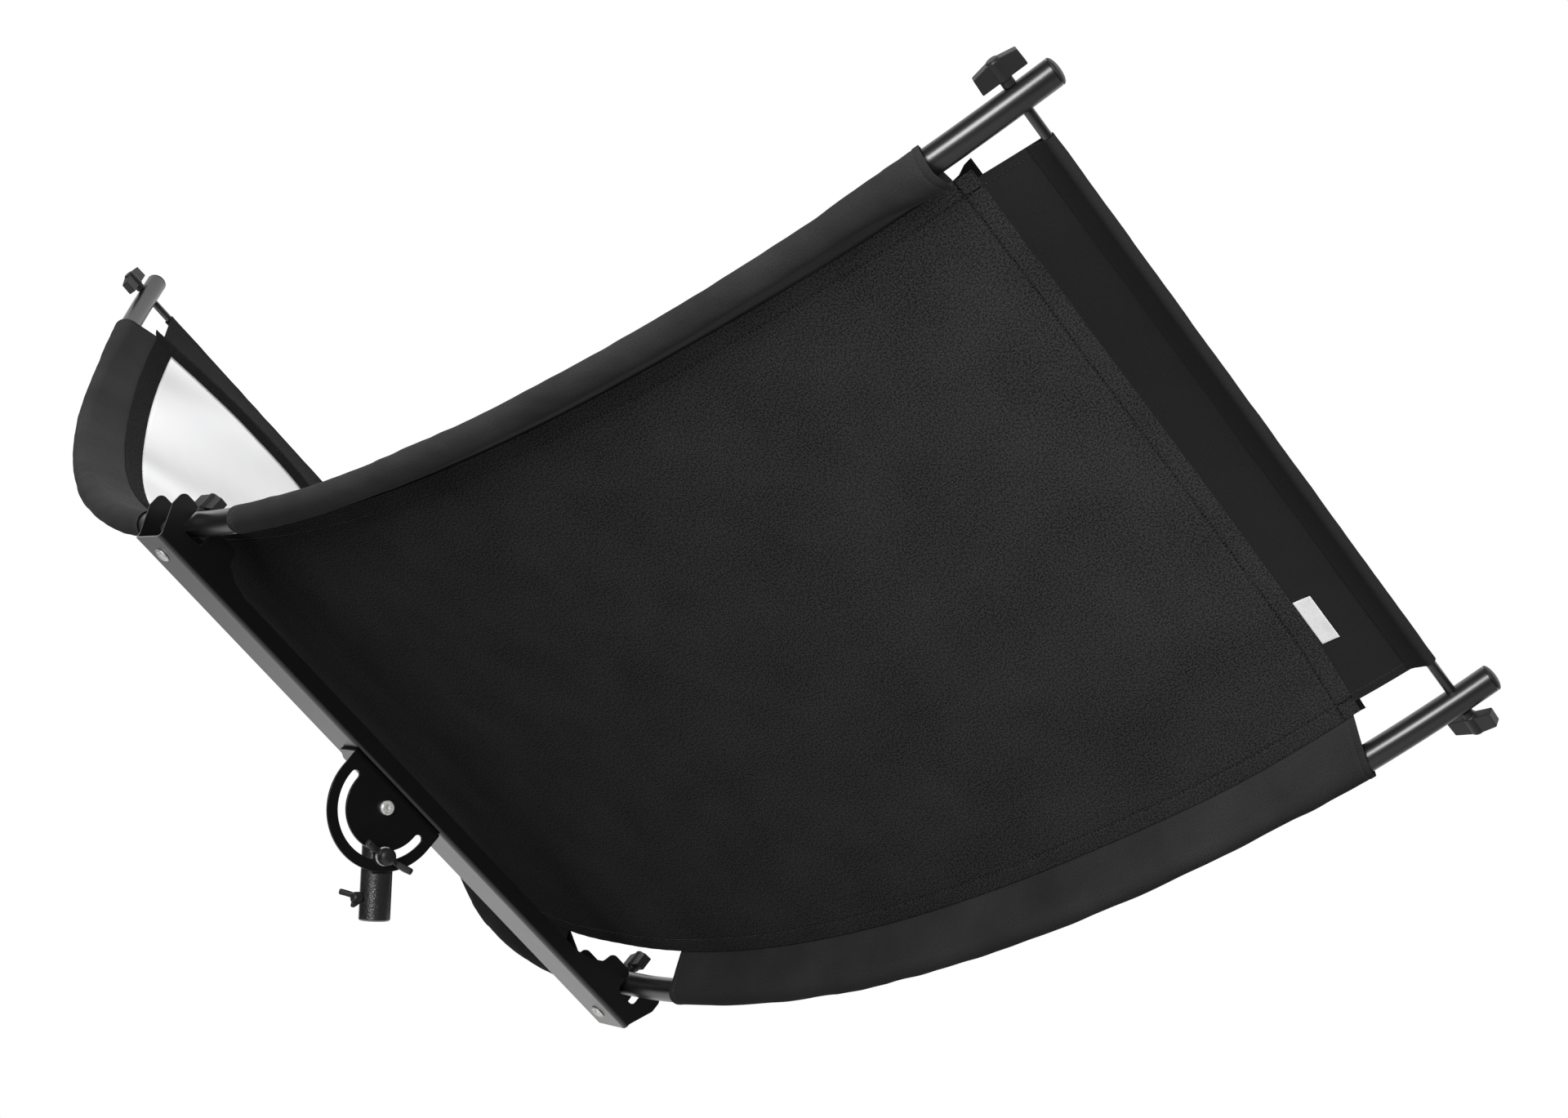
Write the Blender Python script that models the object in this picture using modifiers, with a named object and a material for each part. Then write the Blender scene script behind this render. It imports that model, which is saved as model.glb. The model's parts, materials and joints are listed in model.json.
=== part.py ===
"""Curved collapsible reflector on a tilting stand socket.

Two sprung aluminium tubes, each in three plug-together lengths, run through a steel channel.
They stretch a sewn cloth between them. A slotted plate under the channel tilts on a socket
that slips over a stand's spigot.

The head's parts are modelled in the channel's own frame: origin at the middle of the web's
outer face, X along the reflector's long way, Y along the channel, Z towards the hollow side.
The tilt axis empty then turns them into the pose in use.
"""
import bpy
import bmesh
from math import acos, atan2, ceil, cos, degrees, pi, radians, sin
from mathutils import Matrix, Vector

MM = 0.001
GAP = 0.3 * MM
LOOSE = 0.3 * MM

# Stand socket
SOCKET_DIAMETER = 28.0 * MM
SOCKET_BORE = 16.4 * MM
SOCKET_BORE_DEPTH = 44.0 * MM
SHOULDER_BELOW_PIVOT = 58.0 * MM
PIVOT_HEIGHT = 100.0 * MM
TONGUE_FRONT = 10.2 * MM
TONGUE_BACK_FLAT = 10.0 * MM
TONGUE_BACK_FLAT_HEIGHT = 24.0 * MM
CLAMP_SCREW_HEIGHT = 20.0 * MM
SOCKET_LIP = 1.2 * MM

# Tilt plate under the channel
TILT_ANGLE = radians(41.5)
PIVOT_BELOW_WEB = 19.2 * MM
PIVOT_ALONG_CHANNEL = -4.3 * MM
PLATE_RADIUS = 56.5 * MM
PLATE_THICKNESS = 2.5 * MM
FOOT_THICKNESS = 3.0 * MM
SLOT_RADIUS = 42.5 * MM
SLOT_WIDTH = 8.0 * MM
SLOT_HALF_ANGLE = radians(91.0)
FOOT_WIDTH = 44.0 * MM
FOOT_CHAMFER = 12.0 * MM
FOOT_SCREW_SPACING = 60.0 * MM

# Channel
CHANNEL_PAST_TUBES = 20.5 * MM
CHANNEL_WIDTH = 52.0 * MM
SHEET = 2.0 * MM
BEND_RADIUS = 3.0 * MM
FLANGE_HEIGHT = 18.0 * MM
EAR_OVERHANG = 11.0 * MM
EAR_TOP = 44.4 * MM
EAR_BOTTOM = 30.0 * MM
INNER_EAR_TOP = 41.5 * MM
INNER_EAR_REACH = 38.0 * MM
INNER_EAR_SLOPE = 16.0 * MM
EAR_ROUND = 6.0 * MM
NOTCH_DEPTH_BELOW_TUBE = 5.0 * MM
NOTCH_PLAY = 0.8 * MM

# Bent tubes
TUBE_SPACING = 600.0 * MM
TUBE_DIAMETER = 22.0 * MM
TUBE_WALL = 1.5 * MM
TUBE_ABOVE_WEB = 36.0 * MM
STRAIGHT_HALF = 20.0 * MM
CENTRE_TUBE_HALF = 361.0 * MM
CENTRE_BEND_RADIUS = 910.0 * MM
OUTER_BEND_RADIUS = 1000.0 * MM
OUTER_TUBE_END = 940.5 * MM
PLUG_LENGTH = 60.0 * MM
PLUG_PLAY = 0.6 * MM
JOINT_STRAIGHT = 6.0 * MM
TUBE_POINT_SPACING = 72.5 * MM
TUBE_BEVEL_RESOLUTION = 3

# Snap buttons
BUTTON_DIAMETER = 6.8 * MM
BUTTON_PLAY = 1.0 * MM
BUTTON_FROM_JOINT = 20.0 * MM
BUTTON_PROUD = 0.6 * MM
BUTTON_FOOT_DIAMETER = 8.0 * MM
CLIP_LEAF_LENGTH = 18.0 * MM
CLIP_LEAF_WIDTH = 5.0 * MM
CLIP_LEAF_THICKNESS = 0.8 * MM

# Tube end caps
CAP_THICKNESS = 4.6 * MM
CAP_PLUG_LENGTH = 12.0 * MM

# Cross rods and their knobs
ROD_FROM_TUBE_END = 29.5 * MM
ROD_DIAMETER = 8.0 * MM
ROD_END_PAST_TUBE_AXIS = 3.0 * MM
ROD_THREAD_DEPTH = 17.0 * MM
ROD_SCREW_DIAMETER = 5.0 * MM
ROD_SCREW_REACH = 20.0 * MM

# Bolts and screws
BOLT_DIAMETER = 6.0 * MM
PIVOT_HEAD_DIAMETER = 13.0 * MM
PIVOT_HEAD_HEIGHT = 4.0 * MM
NUT_ACROSS = 10.0 * MM
NUT_HEIGHT = 6.0 * MM
LOCK_WASHER_DIAMETER = 17.0 * MM
WASHER_THICKNESS = 1.2 * MM
SADDLE_HEAD_DIAMETER = 14.5 * MM
SADDLE_HEAD_HEIGHT = 3.2 * MM
SADDLE_SPACER_DIAMETER = 14.0 * MM
FOOT_SCREW_DIAMETER = 5.0 * MM
FOOT_SCREW_HEAD_DIAMETER = 9.5 * MM
FOOT_SCREW_HEAD_HEIGHT = 2.0 * MM
FOOT_NUT_ACROSS = 8.0 * MM
FOOT_NUT_HEIGHT = 4.0 * MM

# Two winged tee knobs
KNOB_LENGTH = 37.6 * MM
KNOB_HEIGHT = 16.5 * MM
KNOB_PEAK = 3.3 * MM
KNOB_THICKNESS = 10.0 * MM
KNOB_HUB_DIAMETER = 12.3 * MM
KNOB_NECK_DIAMETER = 10.0 * MM
KNOB_NECK_HEIGHT = 6.0 * MM
KNOB_THREAD_DEPTH = 11.0 * MM
SADDLE_KNOB_TURN = radians(8.0)

# Wing screws
WING_THICKNESS = 5.0 * MM
WING_HEIGHT = 10.0 * MM
LOCK_WING_SPAN = 56.0 * MM
LOCK_WING_REACH = 10.5 * MM
LOCK_HUB_DIAMETER = 16.0 * MM
LOCK_HUB_HEIGHT = 10.0 * MM
LOCK_WING_TURN = radians(-31.0)
CLAMP_WING_SPAN = 32.0 * MM
CLAMP_WING_REACH = 16.0 * MM
CLAMP_HUB_DIAMETER = 11.0 * MM
CLAMP_HUB_HEIGHT = 9.0 * MM
CLAMP_WING_TURN = radians(-20.0)

# Cloth
PANEL_SHORT_OF_ROD = 62.0 * MM
PANEL_SHORT_OF_SEAM = 1.5 * MM
PANEL_THICKNESS = 0.8 * MM
SEAM_FROM_TUBE = 25.5 * MM
EDGE_LIFT = 25.0 * MM
EDGE_LIFT_STARTS_TO_FALL = 560.0 * MM
EDGE_LIFT_AT_PANEL_END = 15.0 * MM
MIDDLE_RISE = 8.0 * MM
MIDDLE_RISE_STARTS_TO_GROW = 300.0 * MM
MIDDLE_RISE_AT_RIGHT_END = 16.0 * MM
MIDDLE_RISE_AT_LEFT_END = 5.0 * MM
CLOTH_THICKNESS = 0.6 * MM
LAYER_GAP = 0.4 * MM
SLEEVE_PLAY = 1.3 * MM
SLEEVE_RING_STEPS = 6
SLEEVE_START = 98.0 * MM
SLEEVE_START_AT_SEAM = 105.0 * MM
SLEEVE_SHORT_OF_PANEL = 17.0 * MM
SLEEVE_SHORT_OF_PANEL_AT_SEAM = 11.0 * MM
SEAM_OVERLAP = 22.0 * MM
CLOTH_MIDDLE_ROW = 130.0 * MM
FLAP_SHORT_OF_SEAM = 13.5 * MM
FLAP_FROM_SLEEVE = 1.0 * MM
HEM_PLAY = 0.7 * MM
HEM_RETURN = 16.0 * MM
HEM_WRAP = radians(225.0)
HEM_STEPS = 5
SILVER_THICKNESS = 0.5 * MM
BINDING_WIDTH = 24.0 * MM
BINDING_FROM_SEAM = 1.0 * MM
BINDING_THICKNESS = 1.0 * MM
TAG_FROM_MIDDLE = 160.0 * MM
TAG_WIDTH = 43.0 * MM
TAG_REACH = 18.0 * MM
TAG_THICKNESS = 0.6 * MM

# Sizes that follow from the ones above
SOCKET_RADIUS = SOCKET_DIAMETER / 2
SOCKET_FULL_HEIGHT = PIVOT_HEIGHT - SHOULDER_BELOW_PIVOT
TUBE_RADIUS = TUBE_DIAMETER / 2
TUBE_BORE_RADIUS = TUBE_RADIUS - TUBE_WALL
TUBE_BORE_FLATS = TUBE_BORE_RADIUS * cos(pi / (4 + 2 * TUBE_BEVEL_RESOLUTION))
TUBE_Y = TUBE_SPACING / 2
HEAD_X = TONGUE_FRONT + GAP + PLATE_THICKNESS - CHANNEL_WIDTH / 2
PLATE_FRONT_X = CHANNEL_WIDTH / 2
BOLT_HOLE = BOLT_DIAMETER + 2 * LOOSE
SLEEVE_RADIUS = TUBE_RADIUS + SLEEVE_PLAY + CLOTH_THICKNESS / 2
HEM_RADIUS = ROD_DIAMETER / 2 + HEM_PLAY + CLOTH_THICKNESS / 2
JOINT_ANGLE = (CENTRE_TUBE_HALF - STRAIGHT_HALF) / CENTRE_BEND_RADIUS
CHANNEL_LENGTH = TUBE_SPACING + 2 * CHANNEL_PAST_TUBES
ROD_FROM_MIDDLE = OUTER_TUBE_END - ROD_FROM_TUBE_END
EDGE_HALF_WIDTH = TUBE_Y - SEAM_FROM_TUBE
PANEL_HALF_WIDTH = EDGE_HALF_WIDTH - PANEL_SHORT_OF_SEAM
FLAP_HALF_WIDTH = EDGE_HALF_WIDTH - FLAP_SHORT_OF_SEAM
PANEL_HALF_LENGTH = ROD_FROM_MIDDLE - PANEL_SHORT_OF_ROD
SLEEVE_END = PANEL_HALF_LENGTH - SLEEVE_SHORT_OF_PANEL
SLEEVE_END_AT_SEAM = PANEL_HALF_LENGTH - SLEEVE_SHORT_OF_PANEL_AT_SEAM
SIDES = {"right": 1, "left": -1}
ENDS = {"upper": -1, "lower": 1}

for old in list(bpy.data.objects):
    bpy.data.objects.remove(old, do_unlink=True)

scene = bpy.context.scene
parts = bpy.data.collections.new("curved_reflector")
tools = bpy.data.collections.new("cutters")
scene.collection.children.link(parts)
scene.collection.children.link(tools)

FINISHES = {
    "black_paint": ((0.030, 0.030, 0.032), 0.45, 0.0),
    "black_tube": ((0.020, 0.020, 0.022), 0.30, 0.0),
    "black_plastic": ((0.022, 0.022, 0.023), 0.50, 0.0),
    "cast_black": ((0.018, 0.018, 0.019), 0.38, 0.0),
    "zinc": ((0.62, 0.62, 0.60), 0.35, 1.0),
    "spring_steel": ((0.50, 0.50, 0.50), 0.30, 1.0),
    "black_cloth": ((0.018, 0.018, 0.019), 0.90, 0.0),
    "charcoal_knit": ((0.032, 0.032, 0.034), 0.95, 0.0),
    "silver_cloth": ((0.78, 0.78, 0.79), 0.30, 0.9),
    "loop_pile": ((0.012, 0.012, 0.013), 0.98, 0.0),
    "white_ribbon": ((0.80, 0.80, 0.80), 0.70, 0.0),
}


def material_for(name, finish):
    color, roughness, metallic = FINISHES[finish]
    material = bpy.data.materials.new(name)
    material.use_nodes = True
    shader = material.node_tree.nodes["Principled BSDF"]
    shader.inputs["Base Color"].default_value = (*color, 1.0)
    shader.inputs["Roughness"].default_value = roughness
    shader.inputs["Metallic"].default_value = metallic
    return material


def new_object(name, mesh, matrix=None):
    body = bpy.data.objects.new(name, mesh)
    parts.objects.link(body)
    if matrix is not None:
        body.matrix_world = matrix
    return body


def frozen(body):
    """The object's evaluated shape as a plain mesh in its own place, with loose caps welded."""
    graph = bpy.context.evaluated_depsgraph_get()
    graph.update()
    mesh = bpy.data.meshes.new_from_object(body.evaluated_get(graph))
    mesh.transform(body.matrix_world)
    bpy.data.objects.remove(body, do_unlink=True)
    work = bmesh.new()
    work.from_mesh(mesh)
    bmesh.ops.remove_doubles(work, verts=work.verts, dist=0.00001)
    bmesh.ops.recalc_face_normals(work, faces=work.faces)
    work.to_mesh(mesh)
    work.free()
    return mesh


def turn_to(direction, about=0.0):
    """Rotation that carries local Z onto a direction, after a turn about Z."""
    axis = Vector(direction).normalized()
    return axis.to_track_quat("Z", "Y").to_matrix().to_4x4() @ Matrix.Rotation(about, 4, "Z")


def cylinder(name, radius, start, end, segments=24):
    """A solid round bar between two points."""
    start, end = Vector(start), Vector(end)
    work = bmesh.new()
    bmesh.ops.create_cone(work, cap_ends=True, segments=segments, radius1=radius,
                          radius2=radius, depth=(end - start).length)
    mesh = bpy.data.meshes.new(name)
    work.to_mesh(mesh)
    work.free()
    mesh.transform(Matrix.Translation((start + end) / 2) @ turn_to(end - start))
    return new_object(name, mesh)


def box(name, low, high):
    work = bmesh.new()
    bmesh.ops.create_cube(work, size=1.0)
    mesh = bpy.data.meshes.new(name)
    work.to_mesh(mesh)
    work.free()
    low, high = Vector(low), Vector(high)
    size = high - low
    mesh.transform(Matrix.Translation((low + high) / 2) @ Matrix.Diagonal((*size, 1.0)))
    return new_object(name, mesh)


def turned(name, profile, place=None, steps=16):
    """A lathe shape: (radius, height) points from top to bottom of its outer side."""
    mesh = bpy.data.meshes.new(name)
    points = [(radius, 0.0, height) for radius, height in profile]
    mesh.from_pydata(points, [(i, i + 1) for i in range(len(points) - 1)], [])
    body = new_object(name, mesh)
    screw = body.modifiers.new("turn", "SCREW")
    screw.steps = steps
    screw.render_steps = steps
    screw.use_merge_vertices = True
    screw.merge_threshold = 0.00001
    solid = frozen(body)
    if place is not None:
        solid.transform(place)
    return new_object(name, solid)


def hexagon(name, across, start, end):
    return cylinder(name, across / 2 / cos(pi / 6), start, end, segments=6)


def plate(name, outlines, thickness, place):
    """Flat outlines, the first the rim and the rest holes, given a thickness about local Z."""
    curve = bpy.data.curves.new(name, "CURVE")
    curve.dimensions = "2D"
    curve.fill_mode = "BOTH"
    curve.extrude = thickness / 2
    for outline in outlines:
        spline = curve.splines.new("POLY")
        spline.points.add(len(outline) - 1)
        for point, (across, along) in zip(spline.points, outline):
            point.co = (across, along, 0.0, 1.0)
        spline.use_cyclic_u = True
    return new_object(name, frozen(new_object(name, curve, place)))


def rounded(corners, segments=2):
    """An outline whose corners (x, y, radius) become arcs."""
    points = []
    for i, (x, y, radius) in enumerate(corners):
        corner = Vector((x, y))
        before = (Vector(corners[i - 1][:2]) - corner).normalized()
        after = (Vector(corners[(i + 1) % len(corners)][:2]) - corner).normalized()
        if radius == 0.0:
            points.append((x, y))
            continue
        half = acos(max(-1.0, min(1.0, before.dot(after)))) / 2
        reach = radius / sin(half)
        centre = corner + (before + after).normalized() * reach
        first = corner + before * (reach * cos(half)) - centre
        last = corner + after * (reach * cos(half)) - centre
        sweep = first.angle_signed(last)
        for step in range(segments + 1):
            arm = Vector(first)
            arm.rotate(Matrix.Rotation(-sweep * step / segments, 2))
            points.append(tuple(centre + arm))
    return points


def arc(radius, start, end, steps, centre=(0.0, 0.0)):
    span = (end - start) / steps
    return [(centre[0] + radius * cos(start + span * i), centre[1] + radius * sin(start + span * i))
            for i in range(steps + 1)]


def combine(body, tool, operation):
    """Cut a tool from a body, or join it on."""
    for home in list(tool.users_collection):
        home.objects.unlink(tool)
    tools.objects.link(tool)
    tool.hide_render = True
    tool.display_type = "WIRE"
    change = body.modifiers.new(tool.name, "BOOLEAN")
    change.operation = operation
    change.solver = "EXACT"
    change.object = tool


def applied(body):
    """Fix the modifiers into the mesh and keep the object's name."""
    name = body.name
    mesh = frozen(body)
    mesh.name = name
    return new_object(name, mesh)


def finish(body, finish_name, parent=None, location=(0.0, 0.0, 0.0), round_piece=True):
    """Give a piece its material and its parent."""
    if parent is not None:
        body.parent = parent
        body.location = Vector(location)
    if not body.data.materials:
        body.data.materials.append(material_for(body.name, finish_name))
    if round_piece:
        body.data.shade_smooth()
        body.data.set_sharp_from_angle(angle=radians(35.0))
    return body


def empty(name, location, rotation=(0.0, 0.0, 0.0)):
    holder = bpy.data.objects.new(name, None)
    scene.collection.objects.link(holder)
    holder.location = location
    holder.rotation_euler = rotation
    return holder


# The bent line that both tubes follow

def spaced(start, end, spacing, least=2):
    count = max(least, int(ceil(abs(end - start) / spacing)))
    return [start + (end - start) * i / count for i in range(count + 1)]


TUBE_STOPS = ([0.0] + spaced(STRAIGHT_HALF, CENTRE_TUBE_HALF - JOINT_STRAIGHT, TUBE_POINT_SPACING)
              + spaced(CENTRE_TUBE_HALF + JOINT_STRAIGHT, OUTER_TUBE_END - CAP_PLUG_LENGTH,
                       TUBE_POINT_SPACING)
              + [OUTER_TUBE_END + CAP_PLUG_LENGTH])


def between(stops, value):
    """The two stops round a value, and the share of the way between them."""
    for low, high in zip(stops, stops[1:]):
        if value <= high or high == stops[-1]:
            return low, high, (value - low) / (high - low)


def tube_line(distance):
    """The tubes' axis with its facets: bores, plugs and sleeves all keep to the same ones."""
    low, high, share = between(TUBE_STOPS, abs(distance))
    side = 1.0 if distance >= 0.0 else -1.0
    first, last = bent_line(side * low)[0], bent_line(side * high)[0]
    return first.lerp(last, share), bent_line(distance)[1]


def bent_line(distance):
    """Place and slope of the tubes' axis at a distance along it from the middle."""
    reach = abs(distance)
    if reach <= STRAIGHT_HALF:
        x, z, slope = reach, 0.0, 0.0
    elif reach <= CENTRE_TUBE_HALF:
        slope = (reach - STRAIGHT_HALF) / CENTRE_BEND_RADIUS
        x = STRAIGHT_HALF + CENTRE_BEND_RADIUS * sin(slope)
        z = CENTRE_BEND_RADIUS * (1.0 - cos(slope))
    else:
        slope = JOINT_ANGLE + (reach - CENTRE_TUBE_HALF) / OUTER_BEND_RADIUS
        x = (STRAIGHT_HALF + CENTRE_BEND_RADIUS * sin(JOINT_ANGLE)
             + OUTER_BEND_RADIUS * (sin(slope) - sin(JOINT_ANGLE)))
        z = (CENTRE_BEND_RADIUS * (1.0 - cos(JOINT_ANGLE))
             + OUTER_BEND_RADIUS * (cos(JOINT_ANGLE) - cos(slope)))
    side = 1.0 if distance >= 0.0 else -1.0
    return Vector((side * x, 0.0, TUBE_ABOVE_WEB + z)), side * slope


def beside_line(distance, y, lift=0.0):
    """A point beside the tubes' line: y along the channel, lift towards the hollow side."""
    point, slope = tube_line(distance)
    return Vector((point.x - lift * sin(slope), y, point.z + lift * cos(slope)))


def along_line(distance):
    slope = tube_line(distance)[1]
    return Vector((cos(slope), 0.0, sin(slope)))


def bent_bar(name, start, end, radius, y):
    """A solid bar along the bent line."""
    curve = bpy.data.curves.new(name, "CURVE")
    curve.dimensions = "3D"
    curve.bevel_depth = radius
    curve.bevel_resolution = TUBE_BEVEL_RESOLUTION
    curve.use_fill_caps = True
    low, high = min(start, end), max(start, end)
    signed = sorted({side * stop for stop in TUBE_STOPS for side in (1.0, -1.0)})
    stops = [low] + [stop for stop in signed if low + MM < stop < high - MM] + [high]
    spline = curve.splines.new("POLY")
    spline.points.add(len(stops) - 1)
    for point, distance in zip(spline.points, stops):
        point.co = (*beside_line(distance, y), 1.0)
    return new_object(name, frozen(new_object(name, curve)))


# Where the cloth lies: its lift over the tubes' line, towards the hollow side

def ease(low, high, share):
    share = max(0.0, min(1.0, share))
    return low + (high - low) * share * share * (3.0 - 2.0 * share)


def fall(distance, level, starts, at_panel_end, at_rod):
    """A height that eases from its level to that at the panel's end, then runs to the rod."""
    reach = abs(distance)
    if reach <= PANEL_HALF_LENGTH:
        return ease(level, at_panel_end, (reach - starts) / (PANEL_HALF_LENGTH - starts))
    share = (reach - PANEL_HALF_LENGTH) / (ROD_FROM_MIDDLE - PANEL_HALF_LENGTH)
    return at_panel_end + (at_rod - at_panel_end) * max(0.0, min(1.0, share))


def tube_stops_within(low, high):
    return [stop for stop in TUBE_STOPS if low + STRAIGHT_HALF < stop < high - STRAIGHT_HALF]


CLOTH_STOPS = ([0.0, STRAIGHT_HALF, SLEEVE_START] + tube_stops_within(SLEEVE_START, CENTRE_TUBE_HALF)
               + [CENTRE_TUBE_HALF] + tube_stops_within(CENTRE_TUBE_HALF, SLEEVE_END)
               + [SLEEVE_END, PANEL_HALF_LENGTH, ROD_FROM_MIDDLE])


def edge_lift(distance):
    return fall(distance, EDGE_LIFT, EDGE_LIFT_STARTS_TO_FALL, EDGE_LIFT_AT_PANEL_END, HEM_RADIUS)


def cloth_lift(distance, y):
    """Lift of the cloth: least at the seams, most along the middle, where it is pulled out."""
    at_end = MIDDLE_RISE_AT_RIGHT_END if distance >= 0.0 else MIDDLE_RISE_AT_LEFT_END
    rise = fall(distance, MIDDLE_RISE, MIDDLE_RISE_STARTS_TO_GROW, at_end, 0.0)
    return edge_lift(distance) + rise * (1.0 - min(1.0, abs(y) / EDGE_HALF_WIDTH) ** 2)


def cloth_point(distance, y, layer):
    """A point of one cloth layer. All layers share the same facets, so they never cross."""
    near, far, share = between(CLOTH_STOPS, abs(distance))
    inner, outer, out = between(CLOTH_ROWS_AT, abs(y))
    side = 1.0 if distance >= 0.0 else -1.0
    ends = []
    for stop in (side * near, side * far):
        lift = (1.0 - out) * cloth_lift(stop, inner) + out * cloth_lift(stop, outer)
        ends.append(beside_line(stop, y, lift + layer))
    return ends[0].lerp(ends[1], share)


def sheet(name, columns, rows, place, thickness):
    """A grid of cloth laid by a rule on two lists of stops, thickened evenly to both sides."""
    work = bmesh.new()
    bmesh.ops.create_grid(work, x_segments=len(columns) - 1, y_segments=len(rows) - 1, size=0.5)
    for vertex in work.verts:
        column = columns[int(round((vertex.co.x + 0.5) * (len(columns) - 1)))]
        row = rows[int(round((vertex.co.y + 0.5) * (len(rows) - 1)))]
        vertex.co = place(column, row)
    mesh = bpy.data.meshes.new(name)
    work.to_mesh(mesh)
    work.free()
    body = new_object(name, mesh)
    body.data.validate()
    wall = body.modifiers.new("thickness", "SOLIDIFY")
    wall.thickness = thickness
    wall.offset = 0.0
    return applied(body)


# Layers of the cloth, counted from the back panel's hollow side

BACK_LAYER = -PANEL_THICKNESS / 2
FIRST_LAYER = LAYER_GAP + CLOTH_THICKNESS / 2
SECOND_LAYER = FIRST_LAYER + CLOTH_THICKNESS + LAYER_GAP
BINDING_LAYER = SECOND_LAYER + CLOTH_THICKNESS / 2 + LAYER_GAP + BINDING_THICKNESS / 2
SILVER_LAYER = BINDING_LAYER - BINDING_THICKNESS / 2 + SILVER_THICKNESS / 2
TAG_LAYER = FIRST_LAYER - CLOTH_THICKNESS / 2 - LAYER_GAP - TAG_THICKNESS / 2
BINDING_OUTER = EDGE_HALF_WIDTH - BINDING_FROM_SEAM
BINDING_INNER = BINDING_OUTER - BINDING_WIDTH
SILVER_HALF_WIDTH = BINDING_INNER - GAP
CLOTH_ROWS_AT = (0.0, CLOTH_MIDDLE_ROW, BINDING_INNER, EDGE_HALF_WIDTH + GAP)
BINDING_END = PANEL_HALF_LENGTH + 4.0 * MM
SILVER_HALF_LENGTH = BINDING_END - BINDING_WIDTH - GAP


# Socket, screws and plate

def stand_socket():
    top = PIVOT_HEIGHT + SOCKET_RADIUS
    body = turned("stand_socket", [
        (0.0, top), (SOCKET_RADIUS, top), (SOCKET_RADIUS, SOCKET_LIP),
        (SOCKET_RADIUS - SOCKET_LIP, 0.0), (0.0, 0.0)], steps=28)
    front = box("tongue_front_cut", (TONGUE_FRONT, -SOCKET_DIAMETER, SOCKET_FULL_HEIGHT),
                (SOCKET_DIAMETER, SOCKET_DIAMETER, top + SOCKET_RADIUS))
    back = box("tongue_back_cut",
               (-SOCKET_DIAMETER, -SOCKET_DIAMETER, PIVOT_HEIGHT - TONGUE_BACK_FLAT_HEIGHT),
               (-TONGUE_BACK_FLAT, SOCKET_DIAMETER, top + SOCKET_RADIUS))
    bore = cylinder("socket_bore", SOCKET_BORE / 2, (0, 0, -SOCKET_RADIUS),
                    (0, 0, SOCKET_BORE_DEPTH), 20)
    rounding = plate("tongue_rounding", [
        [(-SOCKET_DIAMETER, PIVOT_HEIGHT)] + arc(SOCKET_RADIUS, pi, 0.0, 14, (0.0, PIVOT_HEIGHT))
        + [(SOCKET_DIAMETER, PIVOT_HEIGHT), (SOCKET_DIAMETER, top + SOCKET_RADIUS),
           (-SOCKET_DIAMETER, top + SOCKET_RADIUS)]], 4 * SOCKET_RADIUS, UPRIGHT_PLATE)
    holes = [
        cylinder("pivot_hole", BOLT_HOLE / 2, (-SOCKET_DIAMETER, 0, PIVOT_HEIGHT),
                 (SOCKET_DIAMETER, 0, PIVOT_HEIGHT), 16),
        cylinder("lock_hole", BOLT_HOLE / 2, (0, 0, PIVOT_HEIGHT - SLOT_RADIUS),
                 (SOCKET_DIAMETER, 0, PIVOT_HEIGHT - SLOT_RADIUS), 16),
        cylinder("clamp_hole", BOLT_HOLE / 2, (0, -SOCKET_DIAMETER, CLAMP_SCREW_HEIGHT),
                 (0, 0, CLAMP_SCREW_HEIGHT), 16)]
    for tool in [front, back, bore, rounding] + holes:
        combine(body, tool, "DIFFERENCE")
    finish(applied(body), "cast_black")


UPRIGHT_PLATE = Matrix(((0, 0, 1, 0), (1, 0, 0, 0), (0, 1, 0, 0), (0, 0, 0, 1)))


def tee_knob_mesh(shank_radius, shank_length):
    """A two winged knob about local Z, its neck's foot at the origin, with a shank or a bore."""
    half, low, high = KNOB_LENGTH / 2, KNOB_NECK_HEIGHT, KNOB_NECK_HEIGHT + KNOB_HEIGHT
    side = rounded([(-half, low + 1.5 * MM, 1.0 * MM), (-half + 3.0 * MM, low, 1.0 * MM),
                    (half - 3.0 * MM, low, 1.0 * MM), (half, low + 1.5 * MM, 1.0 * MM),
                    (half - 1.0 * MM, high - KNOB_PEAK, 2.0 * MM), (0.0, high, 12.0 * MM),
                    (-half + 1.0 * MM, high - KNOB_PEAK, 2.0 * MM)], segments=1)
    wings = plate("knob_wings", [side], KNOB_THICKNESS,
                  Matrix(((1, 0, 0, 0), (0, 0, -1, 0), (0, 1, 0, 0), (0, 0, 0, 1))))
    hub = turned("knob_hub", [
        (0.0, high + 0.4 * MM), (KNOB_HUB_DIAMETER / 2 - 1.5 * MM, high + 0.2 * MM),
        (KNOB_HUB_DIAMETER / 2, high - 1.5 * MM), (KNOB_HUB_DIAMETER / 2, low),
        (KNOB_NECK_DIAMETER / 2, low - 1.0 * MM), (KNOB_NECK_DIAMETER / 2, 0.0),
        (0.0, 0.0)], steps=12)
    combine(wings, hub, "UNION")
    if shank_length > 0.0:
        shank = cylinder("knob_shank", shank_radius, (0, 0, -shank_length), (0, 0, low), 12)
        combine(wings, shank, "UNION")
    else:
        bore = cylinder("knob_bore", shank_radius, (0, 0, -low), (0, 0, -shank_length), 12)
        combine(wings, bore, "DIFFERENCE")
    return frozen(wings)


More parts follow.
